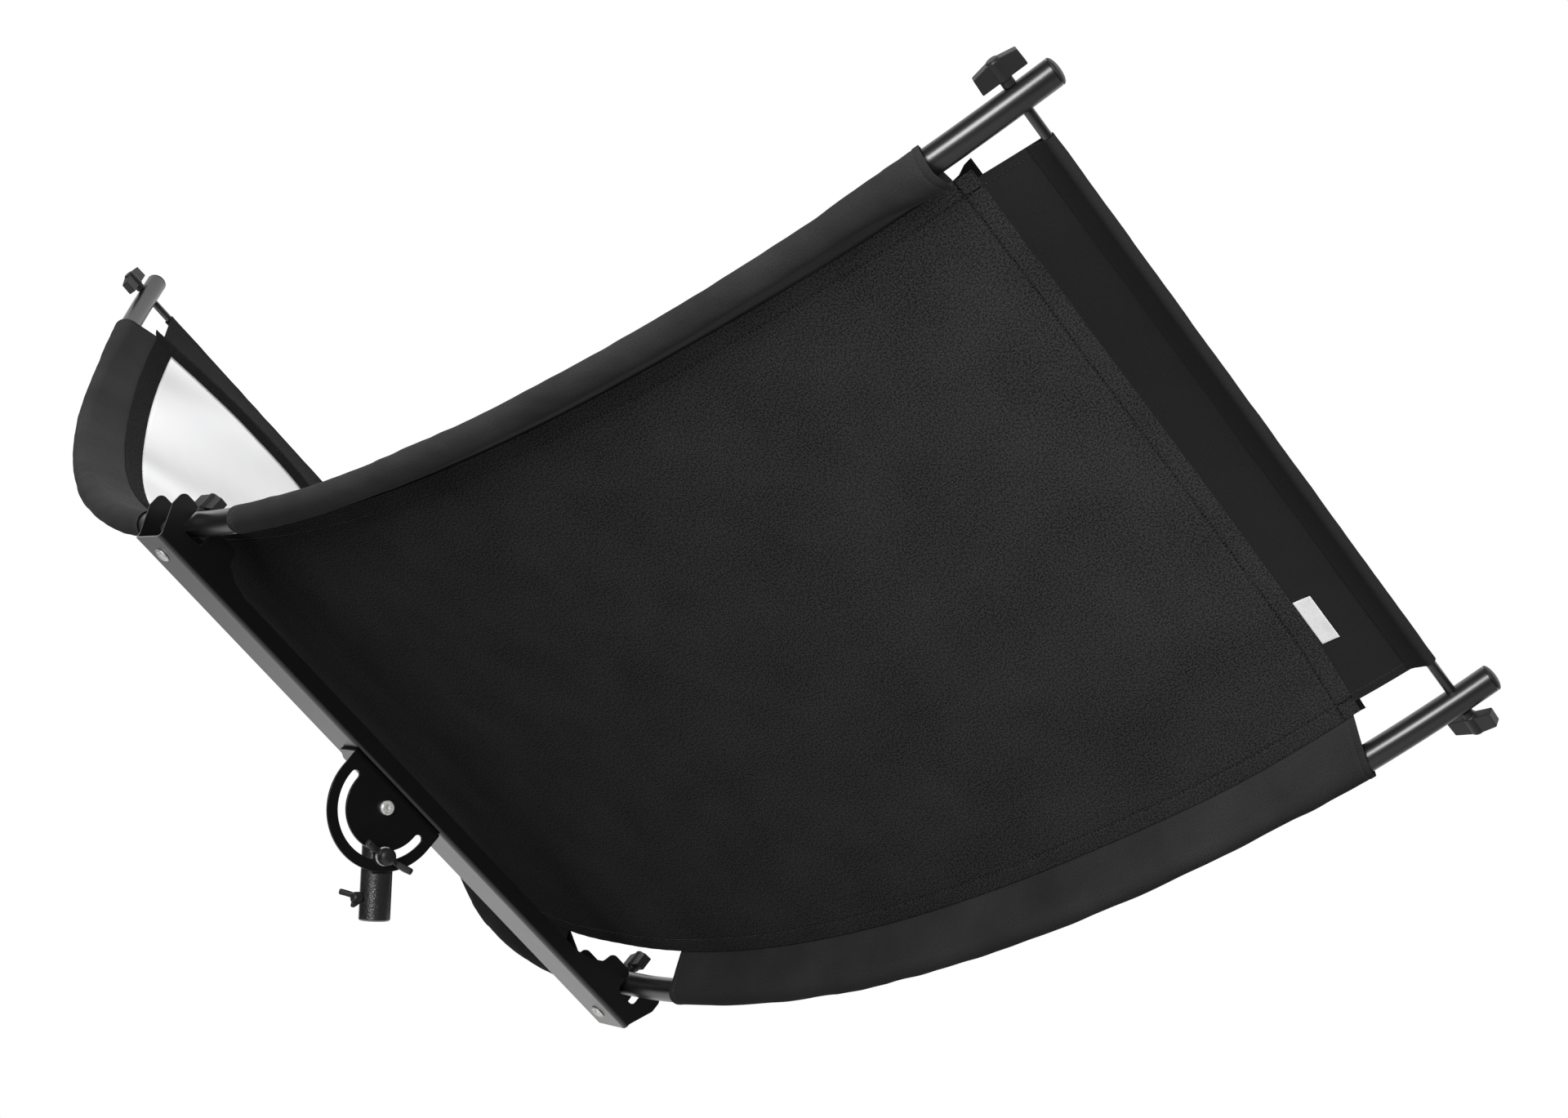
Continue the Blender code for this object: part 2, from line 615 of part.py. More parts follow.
def wing_screw_mesh(span, reach, hub_diameter, hub_height, shank_length):
    """A screw with two swept wings about local Z, its hub's foot at the origin."""
    half, hub, low = span / 2, hub_diameter / 2, 0.3 * WING_HEIGHT
    right = [(hub - 1.0 * MM, 1.0 * MM, 0.0), (half - 5.0 * MM, reach - 0.9 * WING_HEIGHT, 3.0 * MM),
             (half, reach - low, 2.0 * MM), (half - 3.0 * MM, reach, 2.0 * MM),
             (hub + 3.0 * MM, reach - 2 * low, 3.0 * MM), (hub - 1.0 * MM, hub_height - low, 0.0)]
    side = rounded(right + [(-x, z, radius) for x, z, radius in reversed(right)], segments=1)
    wings = plate("screw_wings", [side], WING_THICKNESS,
                  Matrix(((1, 0, 0, 0), (0, 0, -1, 0), (0, 1, 0, 0), (0, 0, 0, 1))))
    round_hub = turned("screw_hub", [
        (0.0, hub_height), (0.6 * hub, hub_height - 0.6 * MM), (hub, hub_height - 3.0 * MM),
        (hub, 0.0), (0.0, 0.0)])
    shank = cylinder("screw_shank", BOLT_DIAMETER / 2, (0, 0, -shank_length),
                     (0, 0, hub_height / 2), 16)
    combine(wings, round_hub, "UNION")
    combine(wings, shank, "UNION")
    return frozen(wings)


def socket_fasteners():
    front = TONGUE_FRONT + GAP + PLATE_THICKNESS
    lock_z = PIVOT_HEIGHT - SLOT_RADIUS
    head_foot = front + GAP
    bolt_end = -TONGUE_BACK_FLAT - GAP - NUT_HEIGHT - 1.5 * MM
    head = PIVOT_HEAD_DIAMETER / 2
    bolt = turned("pivot_bolt", [
        (0.0, PIVOT_HEAD_HEIGHT), (head - 1.5 * MM, PIVOT_HEAD_HEIGHT),
        (head, PIVOT_HEAD_HEIGHT - 1.5 * MM), (head, 0.0), (BOLT_DIAMETER / 2, 0.0),
        (BOLT_DIAMETER / 2, bolt_end - head_foot), (0.0, bolt_end - head_foot)],
        Matrix.Translation((head_foot, 0, PIVOT_HEIGHT)) @ turn_to((1, 0, 0)))
    finish(bolt, "zinc")
    nut = hexagon("pivot_nut", NUT_ACROSS, (-TONGUE_BACK_FLAT - GAP - NUT_HEIGHT, 0, PIVOT_HEIGHT),
                  (-TONGUE_BACK_FLAT - GAP, 0, PIVOT_HEIGHT))
    combine(nut, cylinder("pivot_nut_bore", BOLT_HOLE / 2, (-SOCKET_DIAMETER, 0, PIVOT_HEIGHT),
                          (0, 0, PIVOT_HEIGHT), 16), "DIFFERENCE")
    finish(applied(nut), "zinc")
    washer = cylinder("lock_washer", LOCK_WASHER_DIAMETER / 2, (head_foot, 0, lock_z),
                      (head_foot + WASHER_THICKNESS, 0, lock_z))
    combine(washer, cylinder("lock_washer_bore", BOLT_HOLE / 2, (0, 0, lock_z),
                             (2 * front, 0, lock_z), 16), "DIFFERENCE")
    finish(applied(washer), "zinc")
    hub_foot = head_foot + WASHER_THICKNESS + GAP
    lock = new_object("tilt_lock_screw", wing_screw_mesh(
        LOCK_WING_SPAN, LOCK_WING_REACH, LOCK_HUB_DIAMETER, LOCK_HUB_HEIGHT, hub_foot - 1.0 * MM))
    lock.matrix_world = (Matrix.Translation((hub_foot, 0, lock_z)) @ turn_to((1, 0, 0))
                         @ Matrix.Rotation(LOCK_WING_TURN, 4, "Z"))
    finish(lock, "black_plastic")
    clamp = new_object("socket_thumbscrew", wing_screw_mesh(
        CLAMP_WING_SPAN, CLAMP_WING_REACH, CLAMP_HUB_DIAMETER, CLAMP_HUB_HEIGHT,
        SOCKET_RADIUS + GAP - SOCKET_BORE / 2 - GAP))
    clamp.matrix_world = (Matrix.Translation((0, -SOCKET_RADIUS - GAP, CLAMP_SCREW_HEIGHT))
                          @ turn_to((0, -1, 0))
                          @ Matrix.Rotation(CLAMP_WING_TURN, 4, "Z"))
    finish(clamp, "black_plastic")


def tilt_plate(head):
    """Half disc with an arc slot, folded from a foot that lies on the web."""
    foot_top = -GAP
    centre = (PIVOT_ALONG_CHANNEL, -PIVOT_BELOW_WEB)
    front, rear = centre[0] + PLATE_RADIUS, centre[0] - PLATE_RADIUS
    rim = ([(front, foot_top)] + arc(PLATE_RADIUS, 0.0, -pi, 24, centre) + [(rear, foot_top)])
    down = -pi / 2
    half_slot = SLOT_WIDTH / 2
    first, last = down - SLOT_HALF_ANGLE, down + SLOT_HALF_ANGLE
    slot = (arc(SLOT_RADIUS + half_slot, first, last, 22, centre)
            + arc(half_slot, last, last + pi, 5,
                  (centre[0] + SLOT_RADIUS * cos(last), centre[1] + SLOT_RADIUS * sin(last)))[1:-1]
            + arc(SLOT_RADIUS - half_slot, last, first, 22, centre)
            + arc(half_slot, first + pi, first + 2 * pi, 5,
                  (centre[0] + SLOT_RADIUS * cos(first), centre[1] + SLOT_RADIUS * sin(first)))[1:-1])
    hole = arc(BOLT_HOLE / 2, 0.0, 2 * pi, 16, centre)[:-1]
    place = Matrix.Translation((PLATE_FRONT_X - PLATE_THICKNESS / 2, 0, 0)) @ UPRIGHT_PLATE
    upright = plate("tilt_plate", [rim, slot, hole], PLATE_THICKNESS, place)
    back_edge = PLATE_FRONT_X - FOOT_WIDTH
    foot_outline = [(PLATE_FRONT_X, rear), (PLATE_FRONT_X, front),
                    (back_edge + FOOT_CHAMFER, front), (back_edge, front - FOOT_CHAMFER),
                    (back_edge, rear + FOOT_CHAMFER), (back_edge + FOOT_CHAMFER, rear)]
    holes = [arc(FOOT_SCREW_DIAMETER / 2 + LOOSE, 0.0, 2 * pi, 12, (0.0, foot_screw_y(end)))[:-1]
             for end in ENDS.values()]
    foot = plate("tilt_plate_foot", [foot_outline] + holes, FOOT_THICKNESS,
                 Matrix.Translation((0, 0, foot_top - FOOT_THICKNESS / 2)))
    combine(upright, foot, "UNION")
    finish(applied(upright), "black_paint", head, WEB_FROM_PIVOT)


def foot_screw_y(end):
    return PIVOT_ALONG_CHANNEL + end * FOOT_SCREW_SPACING / 2


def foot_fasteners(head):
    """Two low headed screws through foot and web, and their nuts inside the channel."""
    low = -GAP - FOOT_THICKNESS - GAP
    radius = FOOT_SCREW_DIAMETER / 2
    top = SHEET + GAP + FOOT_NUT_HEIGHT + 1.0 * MM
    for label, sign in ENDS.items():
        y = foot_screw_y(sign)
        head_radius = FOOT_SCREW_HEAD_DIAMETER / 2
        screw = turned("foot_screw_" + label, [
            (0.0, top), (radius, top), (radius, low), (head_radius, low),
            (head_radius - 1.0 * MM, low - FOOT_SCREW_HEAD_HEIGHT),
            (0.0, low - FOOT_SCREW_HEAD_HEIGHT)], Matrix.Translation((0, y, 0)), steps=16)
        finish(screw, "zinc", head, WEB_FROM_PIVOT)
        nut = hexagon("foot_nut_" + label, FOOT_NUT_ACROSS, (0, y, SHEET + GAP),
                      (0, y, SHEET + GAP + FOOT_NUT_HEIGHT))
        combine(nut, cylinder("foot_nut_bore_" + label, radius + LOOSE, (0, y, 0),
                              (0, y, 2 * top), 12), "DIFFERENCE")
        finish(applied(nut), "zinc", head, WEB_FROM_PIVOT)


def channel_side():
    """Side view of the channel: low in the middle, and at each end a bump, a notch and a lobe."""
    clear = TUBE_RADIUS + NOTCH_PLAY
    bottom = TUBE_ABOVE_WEB - TUBE_RADIUS - NOTCH_DEPTH_BELOW_TUBE
    end = CHANNEL_LENGTH / 2
    inner = TUBE_Y - INNER_EAR_REACH
    half = [
        (end, -SHEET, 0.0), (end, 0.3 * FLANGE_HEIGHT, 3.0 * MM),
        (end + EAR_OVERHANG, EAR_BOTTOM, 3.0 * MM),
        (end + EAR_OVERHANG, EAR_TOP, EAR_ROUND), (TUBE_Y + clear, EAR_TOP, EAR_ROUND),
        (TUBE_Y + clear, bottom, 0.45 * clear), (TUBE_Y - clear, bottom, 0.45 * clear),
        (TUBE_Y - clear, INNER_EAR_TOP, EAR_ROUND), (inner, INNER_EAR_TOP, EAR_ROUND),
        (inner - 3.0 * MM, INNER_EAR_TOP - 12.0 * MM, 6.0 * MM),
        (inner - INNER_EAR_SLOPE, FLANGE_HEIGHT + 4.0 * MM, 5.0 * MM),
        (inner - 2 * INNER_EAR_SLOPE, FLANGE_HEIGHT, 0.0)]
    return rounded(half + [(-y, z, radius) for y, z, radius in reversed(half)])


def centre_channel(head):
    half, inside = CHANNEL_WIDTH / 2, CHANNEL_WIDTH / 2 - SHEET
    bend, inner_bend, top = BEND_RADIUS, BEND_RADIUS - SHEET, EAR_TOP + SHEET
    section = rounded([
        (-half, 0.0, bend), (half, 0.0, bend), (half, top, 0.0), (inside, top, 0.0),
        (inside, SHEET, inner_bend), (-inside, SHEET, inner_bend), (-inside, top, 0.0),
        (-half, top, 0.0)])
    lengthwise = Matrix(((1, 0, 0, 0), (0, 0, -1, 0), (0, 1, 0, 0), (0, 0, 0, 1)))
    channel = plate("centre_channel", [section], CHANNEL_LENGTH + 4 * EAR_OVERHANG, lengthwise)
    combine(channel, plate("channel_side", [channel_side()], 2 * CHANNEL_WIDTH, UPRIGHT_PLATE),
            "INTERSECT")
    for end_label, end in ENDS.items():
        combine(channel, cylinder("saddle_hole_" + end_label, BOLT_HOLE / 2,
                                  (0, end * TUBE_Y, -SHEET), (0, end * TUBE_Y, 2 * SHEET), 16),
                "DIFFERENCE")
        y = foot_screw_y(end)
        combine(channel, cylinder("foot_hole_" + end_label, FOOT_SCREW_DIAMETER / 2 + LOOSE,
                                  (0, y, -SHEET), (0, y, 2 * SHEET), 12), "DIFFERENCE")
    finish(applied(channel), "black_paint", head, WEB_FROM_PIVOT)


# Tubes, rods and their knobs

def centre_tube(head, label, end):
    y = end * TUBE_Y
    tube = bent_bar("centre_tube_" + label, -CENTRE_TUBE_HALF, CENTRE_TUBE_HALF, TUBE_RADIUS, y)
    bore_half = CENTRE_TUBE_HALF + TUBE_RADIUS
    bore = bent_bar("centre_bore_" + label, -bore_half, bore_half, TUBE_BORE_RADIUS, y)
    combine(tube, bore, "DIFFERENCE")
    middle = beside_line(0.0, y)
    up = Vector((0, 0, 2 * TUBE_RADIUS))
    combine(tube, cylinder("bolt_way_" + label, BOLT_HOLE / 2, middle - up, middle + up, 16),
            "DIFFERENCE")
    for side_label, side in SIDES.items():
        spot = side * (CENTRE_TUBE_HALF - BUTTON_FROM_JOINT)
        combine(tube, button_hole(label + "_" + side_label + "_centre", spot, end), "DIFFERENCE")
    finish(applied(tube), "black_tube", head, WEB_FROM_PIVOT)


def button_hole(label, distance, end):
    y = end * TUBE_Y
    return cylinder("button_hole_" + label, (BUTTON_DIAMETER + BUTTON_PLAY) / 2,
                    beside_line(distance, y), beside_line(distance, y + end * 2 * TUBE_RADIUS), 12)


def outer_tube(head, end_label, end, side_label, side):
    """A tube whose inner end is drawn down to plug into the centre tube."""
    y = end * TUBE_Y
    tag = end_label + "_" + side_label
    joint = CENTRE_TUBE_HALF + GAP
    neck_radius = TUBE_BORE_RADIUS - PLUG_PLAY / 2
    neck_bore = neck_radius - TUBE_WALL
    shoulder = joint + 2 * TUBE_WALL
    tube = bent_bar("outer_tube_" + tag, side * joint, side * OUTER_TUBE_END, TUBE_RADIUS, y)
    neck = bent_bar("neck_" + tag, side * (CENTRE_TUBE_HALF - PLUG_LENGTH),
                    side * (joint + TUBE_WALL), neck_radius, y)
    combine(tube, neck, "UNION")
    combine(tube, bent_bar("outer_bore_" + tag, side * shoulder,
                           side * (OUTER_TUBE_END + TUBE_RADIUS), TUBE_BORE_RADIUS, y),
            "DIFFERENCE")
    combine(tube, bent_bar("neck_bore_" + tag,
                           side * (CENTRE_TUBE_HALF - PLUG_LENGTH - TUBE_RADIUS),
                           side * (shoulder + TUBE_WALL), neck_bore, y), "DIFFERENCE")
    button_spot = side * (CENTRE_TUBE_HALF - BUTTON_FROM_JOINT)
    combine(tube, button_hole(tag + "_outer", button_spot, end), "DIFFERENCE")
    rod_spot = side * ROD_FROM_MIDDLE
    axis = beside_line(rod_spot, y)
    across = Vector((0, end * 2 * TUBE_RADIUS, 0))
    combine(tube, cylinder("rod_hole_" + tag, ROD_DIAMETER / 2 + LOOSE, axis - across, axis, 16),
            "DIFFERENCE")
    combine(tube, cylinder("rod_screw_hole_" + tag, ROD_SCREW_DIAMETER / 2 + LOOSE, axis,
                           axis + across, 12), "DIFFERENCE")
    finish(applied(tube), "black_tube", head, WEB_FROM_PIVOT)


def end_cap(head, end_label, end, side_label, side):
    spot = side * (OUTER_TUBE_END + GAP)
    radius = TUBE_RADIUS
    plug = TUBE_BORE_FLATS - LOOSE
    place = (Matrix.Translation(beside_line(spot, end * TUBE_Y))
             @ turn_to(along_line(spot) * side))
    cap = turned("end_cap_" + end_label + "_" + side_label, [
        (0.0, CAP_THICKNESS), (0.5 * radius, 0.88 * CAP_THICKNESS),
        (0.82 * radius, 0.58 * CAP_THICKNESS), (radius, 0.15 * CAP_THICKNESS), (radius, 0.0),
        (plug, 0.0), (plug, -CAP_PLUG_LENGTH), (0.0, -CAP_PLUG_LENGTH)], place)
    finish(cap, "black_plastic", head, WEB_FROM_PIVOT)


def snap_clip_mesh():
    """Button and spring leaf about local Z, with the tube's axis at the origin."""
    radius = BUTTON_DIAMETER / 2
    tip = TUBE_RADIUS + BUTTON_PROUD
    foot = BUTTON_FOOT_DIAMETER / 2
    foot_top = 0.55 * TUBE_RADIUS
    pin = turned("snap_pin", [
        (0.0, tip), (0.7 * radius, tip - 0.5 * MM), (radius, tip - 1.6 * MM), (radius, foot_top),
        (foot, foot_top), (foot, foot_top - 1.0 * MM), (0.0, foot_top - 1.0 * MM)], steps=16)
    leaf = box("snap_leaf", (-CLIP_LEAF_LENGTH, -CLIP_LEAF_WIDTH / 2,
                             foot_top - CLIP_LEAF_THICKNESS), (0, CLIP_LEAF_WIDTH / 2, foot_top))
    combine(pin, leaf, "UNION")
    return frozen(pin)


def on_head(body, head, matrix, finish_name):
    """Place a piece with its own joint axis in the channel's frame."""
    body.parent = head
    body.matrix_local = Matrix.Translation(WEB_FROM_PIVOT) @ matrix
    finish(body, finish_name)


def framed(origin, z_axis, x_axis):
    z_axis = Vector(z_axis).normalized()
    x_axis = (Vector(x_axis) - z_axis * Vector(x_axis).dot(z_axis)).normalized()
    y_axis = z_axis.cross(x_axis)
    turn = Matrix((x_axis, y_axis, z_axis)).transposed().to_4x4()
    return Matrix.Translation(origin) @ turn


def moving_pieces(head):
    """Knobs, their bolts, snap clips and cross rods."""
    tip_knob = tee_knob_mesh(ROD_SCREW_DIAMETER / 2, ROD_SCREW_REACH)
    saddle_knob = tee_knob_mesh(BOLT_DIAMETER / 2 + LOOSE, -KNOB_THREAD_DEPTH)
    clip = snap_clip_mesh()
    for end_label, end in ENDS.items():
        outward = Vector((0, end, 0))
        for side_label, side in SIDES.items():
            tag = end_label + "_" + side_label
            spot = side * ROD_FROM_MIDDLE
            foot = beside_line(spot, end * (TUBE_Y + TUBE_RADIUS + GAP))
            on_head(new_object("tip_knob_" + tag, tip_knob.copy()), head,
                    framed(foot, outward, along_line(spot)), "black_plastic")
            clip_spot = side * (CENTRE_TUBE_HALF - BUTTON_FROM_JOINT)
            on_head(new_object("snap_clip_" + tag, clip.copy()), head,
                    framed(beside_line(clip_spot, end * TUBE_Y), outward,
                           along_line(clip_spot) * side), "spring_steel")
        top = beside_line(0.0, end * TUBE_Y, TUBE_RADIUS + GAP)
        wing = Vector((cos(SADDLE_KNOB_TURN), sin(SADDLE_KNOB_TURN), 0))
        on_head(new_object("saddle_knob_" + end_label, saddle_knob.copy()), head,
                framed(top, (0, 0, 1), wing), "black_plastic")
        saddle_bolt(head, end_label, end, top.z + KNOB_THREAD_DEPTH - GAP)
    for side_label, side in SIDES.items():
        cross_rod(head, side_label, side)


def saddle_bolt(head, label, end, top):
    """A dome headed bolt up through web, spacer and tube, and the spacer under the tube."""
    y = end * TUBE_Y
    radius = BOLT_DIAMETER / 2
    dome = SADDLE_HEAD_DIAMETER / 2
    bolt = turned("saddle_bolt_" + label, [
        (0.0, top), (radius, top), (radius, -GAP), (dome, -GAP),
        (0.92 * dome, -GAP - 0.45 * SADDLE_HEAD_HEIGHT),
        (0.6 * dome, -GAP - 0.85 * SADDLE_HEAD_HEIGHT),
        (0.0, -GAP - SADDLE_HEAD_HEIGHT)], Matrix.Translation((0, y, 0)))
    finish(bolt, "zinc", head, WEB_FROM_PIVOT)
    spacer = cylinder("saddle_spacer_" + label, SADDLE_SPACER_DIAMETER / 2,
                      (0, y, SHEET + GAP), (0, y, TUBE_ABOVE_WEB), 20)
    combine(spacer, bent_bar("saddle_hollow_" + label, -2 * TUBE_RADIUS, 2 * TUBE_RADIUS,
                             TUBE_RADIUS + GAP, y), "DIFFERENCE")
    combine(spacer, cylinder("spacer_bore_" + label, radius + LOOSE, (0, y, -SHEET),
                             (0, y, TUBE_ABOVE_WEB), 16), "DIFFERENCE")
    finish(applied(spacer), "black_plastic", head, WEB_FROM_PIVOT)


def cross_rod(head, label, side):
    """The rod in the end flap's hem, tapped at both ends."""
    axis = beside_line(side * ROD_FROM_MIDDLE, 0.0)
    half = Vector((0, TUBE_Y + ROD_END_PAST_TUBE_AXIS, 0))
    rod = cylinder("cross_rod_" + label, ROD_DIAMETER / 2, axis - half, axis + half, 16)
    for end_label, end in ENDS.items():
        tip = axis + half * end
        tap = Vector((0, end * ROD_THREAD_DEPTH, 0))
        combine(rod, cylinder("tap_" + label + "_" + end_label, ROD_SCREW_DIAMETER / 2 + LOOSE,
                              tip - tap, tip + tap, 12), "DIFFERENCE")
    finish(applied(rod), "black_tube", head, WEB_FROM_PIVOT)


# Sewn cloth

def inside(stops, limit):
    """Stops short of a limit, then the limit itself, on both sides of the middle."""
    half = [stop for stop in stops if stop < limit - 2.0 * MM] + [limit]
    return [-stop for stop in reversed(half) if stop > 0.0] + half


def sleeve_section(distance, end):
    """Points (y, lift) of a sleeve's loop: seam, round the tube's far side, and back."""
    seam = TUBE_Y - EDGE_HALF_WIDTH
    lift = edge_lift(distance)
    swings = []
    for layer, side in ((FIRST_LAYER, -1), (SECOND_LAYER, 1)):
        reach = Vector((seam, lift + layer))
        swings.append(atan2(reach.y, reach.x) + side * acos(SLEEVE_RADIUS / reach.length))
    first, last = swings[0], swings[1] - 2 * pi
    ring = arc(SLEEVE_RADIUS, first, last, SLEEVE_RING_STEPS)
    loop = [(seam, lift + FIRST_LAYER)] + ring + [(seam, lift + SECOND_LAYER)]
    return [(end * (TUBE_Y - inset), height) for inset, height in loop]


def sleeve(head, end_label, end, side_label, side):
    tail_y = end * (EDGE_HALF_WIDTH - SEAM_OVERLAP)
    stops = [stop for stop in CLOTH_STOPS if SLEEVE_START <= stop <= SLEEVE_END]
    count = SLEEVE_RING_STEPS + 5

    def place(stop, index):
        if index in (0, count - 1):
            layer = FIRST_LAYER if index == 0 else SECOND_LAYER
            return cloth_point(side * (stop + slant(stop, 1.0)), tail_y, layer)
        y, lift = sleeve_section(stop, end)[index - 1]
        if index in (1, count - 2):
            layer = FIRST_LAYER if index == 1 else SECOND_LAYER
            return cloth_point(side * (stop + slant(stop, 1.0)), y, layer)
        share = max(0.0, (TUBE_Y - abs(y)) / (TUBE_Y - EDGE_HALF_WIDTH))
        return beside_line(side * (stop + slant(stop, share)), y, lift)

    body = sheet("sleeve_" + end_label + "_" + side_label, stops, list(range(count)), place,
                 CLOTH_THICKNESS)
    finish(body, "black_cloth", head, WEB_FROM_PIVOT)


def slant(stop, share):
    """How far the sleeve's end edges lean along the tube on the way to the seam."""
    if stop == SLEEVE_START:
        return share * (SLEEVE_START_AT_SEAM - SLEEVE_START)
    if stop == SLEEVE_END:
        return share * (SLEEVE_END_AT_SEAM - SLEEVE_END)
    return 0.0


def end_flap(head, label, side):
    """Cloth from under the panel's end to the rod, round it, and back a little."""
    start = SLEEVE_END_AT_SEAM + FLAP_FROM_SLEEVE
    hem_swings = [pi / 2 - HEM_WRAP * i / HEM_STEPS for i in range(HEM_STEPS + 1)]
    rows = [start, PANEL_HALF_LENGTH, ROD_FROM_MIDDLE - HEM_RETURN]
    steps = list(range(len(rows) + len(hem_swings) + 1))
    columns = inside(CLOTH_ROWS_AT, FLAP_HALF_WIDTH)

    def place(step, y):
        if step < len(rows):
            distance = rows[step]
            share = (ROD_FROM_MIDDLE - distance) / (ROD_FROM_MIDDLE - start)
            return cloth_point(side * distance, y, FIRST_LAYER * share)
        if step < len(rows) + len(hem_swings):
            swing = hem_swings[step - len(rows)]
            ahead = side * (ROD_FROM_MIDDLE + HEM_RADIUS * cos(swing))
            return beside_line(ahead, y, HEM_RADIUS * sin(swing))
        distance = side * (ROD_FROM_MIDDLE - HEM_RETURN)
        return cloth_point(distance, y, -CLOTH_THICKNESS - LAYER_GAP)

    body = sheet("end_flap_" + label, steps, columns, place, CLOTH_THICKNESS)
    finish(body, "black_cloth", head, WEB_FROM_PIVOT)


def panels(head):
    def laid(layer):
        return lambda distance, y: cloth_point(distance, y, layer)

    def add(name, columns, rows, layer, thickness, finish_name):
        body = sheet(name, columns, rows, laid(layer), thickness)
        finish(body, finish_name, head, WEB_FROM_PIVOT)

    add("back_panel", inside(CLOTH_STOPS, PANEL_HALF_LENGTH),
        inside(CLOTH_ROWS_AT, PANEL_HALF_WIDTH), BACK_LAYER, PANEL_THICKNESS, "charcoal_knit")
    add("silver_panel", inside(CLOTH_STOPS, SILVER_HALF_LENGTH),
        inside(CLOTH_ROWS_AT, SILVER_HALF_WIDTH), SILVER_LAYER, SILVER_THICKNESS, "silver_cloth")
    for label, end in ENDS.items():
        rows = [end * BINDING_INNER, end * BINDING_OUTER]
        add("binding_" + label, inside(CLOTH_STOPS, BINDING_END), rows[::end], BINDING_LAYER,
            BINDING_THICKNESS, "loop_pile")
    for label, side in SIDES.items():
        columns = [side * (BINDING_END - BINDING_WIDTH), side * SLEEVE_END,
                   side * PANEL_HALF_LENGTH, side * BINDING_END]
        add("binding_" + label, columns[::side], inside(CLOTH_ROWS_AT, BINDING_INNER - GAP),
            BINDING_LAYER, BINDING_THICKNESS, "loop_pile")
    add("side_tag", spaced(PANEL_HALF_LENGTH + GAP, PANEL_HALF_LENGTH + TAG_REACH, TAG_REACH, 2),
        [TAG_FROM_MIDDLE, TAG_FROM_MIDDLE + TAG_WIDTH], TAG_LAYER, TAG_THICKNESS, "white_ribbon")


WEB_FROM_PIVOT = (0.0, -PIVOT_ALONG_CHANNEL, PIVOT_BELOW_WEB)

stand_socket()
socket_fasteners()
tilt_axis = empty("tilt_axis", (HEAD_X, 0.0, PIVOT_HEIGHT), (-TILT_ANGLE, 0.0, 0.0))
bpy.context.view_layer.update()
tilt_plate(tilt_axis)
foot_fasteners(tilt_axis)
centre_channel(tilt_axis)
for end_name, end_sign in ENDS.items():
    centre_tube(tilt_axis, end_name, end_sign)
    for side_name, side_sign in SIDES.items():
        outer_tube(tilt_axis, end_name, end_sign, side_name, side_sign)
        end_cap(tilt_axis, end_name, end_sign, side_name, side_sign)
        sleeve(tilt_axis, end_name, end_sign, side_name, side_sign)
moving_pieces(tilt_axis)
for side_name, side_sign in SIDES.items():
    end_flap(tilt_axis, side_name, side_sign)
panels(tilt_axis)
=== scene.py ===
"""Looks for the curved collapsible reflector: cloth, tubes, channel, screws, finishes and light."""
import json
from math import acos, atan2, ceil, cos, pi, radians, sin

import bmesh
import bpy
import numpy as np
from mathutils import Matrix, Vector


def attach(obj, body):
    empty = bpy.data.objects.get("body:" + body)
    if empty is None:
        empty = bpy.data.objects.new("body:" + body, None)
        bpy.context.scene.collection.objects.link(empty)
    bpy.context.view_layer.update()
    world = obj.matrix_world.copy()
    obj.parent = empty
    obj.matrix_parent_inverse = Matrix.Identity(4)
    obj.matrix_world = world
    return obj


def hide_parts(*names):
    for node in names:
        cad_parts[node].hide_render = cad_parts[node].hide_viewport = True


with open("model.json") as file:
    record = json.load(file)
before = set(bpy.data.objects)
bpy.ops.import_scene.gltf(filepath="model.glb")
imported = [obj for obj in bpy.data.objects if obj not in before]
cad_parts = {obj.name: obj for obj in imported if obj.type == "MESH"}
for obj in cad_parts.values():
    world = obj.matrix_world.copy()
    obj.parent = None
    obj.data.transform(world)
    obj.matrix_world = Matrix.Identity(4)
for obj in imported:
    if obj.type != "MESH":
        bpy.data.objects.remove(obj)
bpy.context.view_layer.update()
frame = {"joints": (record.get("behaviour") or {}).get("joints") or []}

MM = 0.001

# The camera stands where the photograph was taken from
CAMERA_PLACE = (2.33478, -1.15699, 0.22098)
CAMERA_TURN = (radians(92.5111), radians(-2.4826), radians(55.8842))
CAMERA_LENS = 67.03

# The head's own frame: X along the reflector, Y along the channel, Z towards the hollow side
TILT_ANGLE = radians(41.5)
HEAD_X = -13.0 * MM
PIVOT_HEIGHT = 100.0 * MM
PIVOT_BELOW_WEB = 19.2 * MM
PIVOT_ALONG_CHANNEL = -4.3 * MM

# Socket
SOCKET_RADIUS = 14.0 * MM
SOCKET_BORE_RADIUS = 8.2 * MM
SOCKET_BORE_DEPTH = 44.0 * MM
SOCKET_FULL_HEIGHT = 42.0 * MM
TONGUE_FRONT = 10.2 * MM
TONGUE_BACK = 10.0 * MM
TONGUE_BACK_FOOT = 76.0 * MM
CLAMP_SCREW_HEIGHT = 20.0 * MM

# Tilt plate
PLATE_RADIUS = 56.5 * MM
PLATE_THICKNESS = 2.5 * MM
PLATE_BEND = 4.0 * MM
FOOT_THICKNESS = 3.0 * MM
FOOT_WIDTH = 44.0 * MM
FOOT_CHAMFER = 12.0 * MM
FOOT_SCREW_SPACING = 60.0 * MM
FOOT_HOLE_RADIUS = 2.8 * MM
SLOT_RADIUS = 42.5 * MM
SLOT_WIDTH = 8.0 * MM
SLOT_HALF_ANGLE = radians(91.0)
LOCK_SCREW_HEIGHT = PIVOT_HEIGHT - SLOT_RADIUS

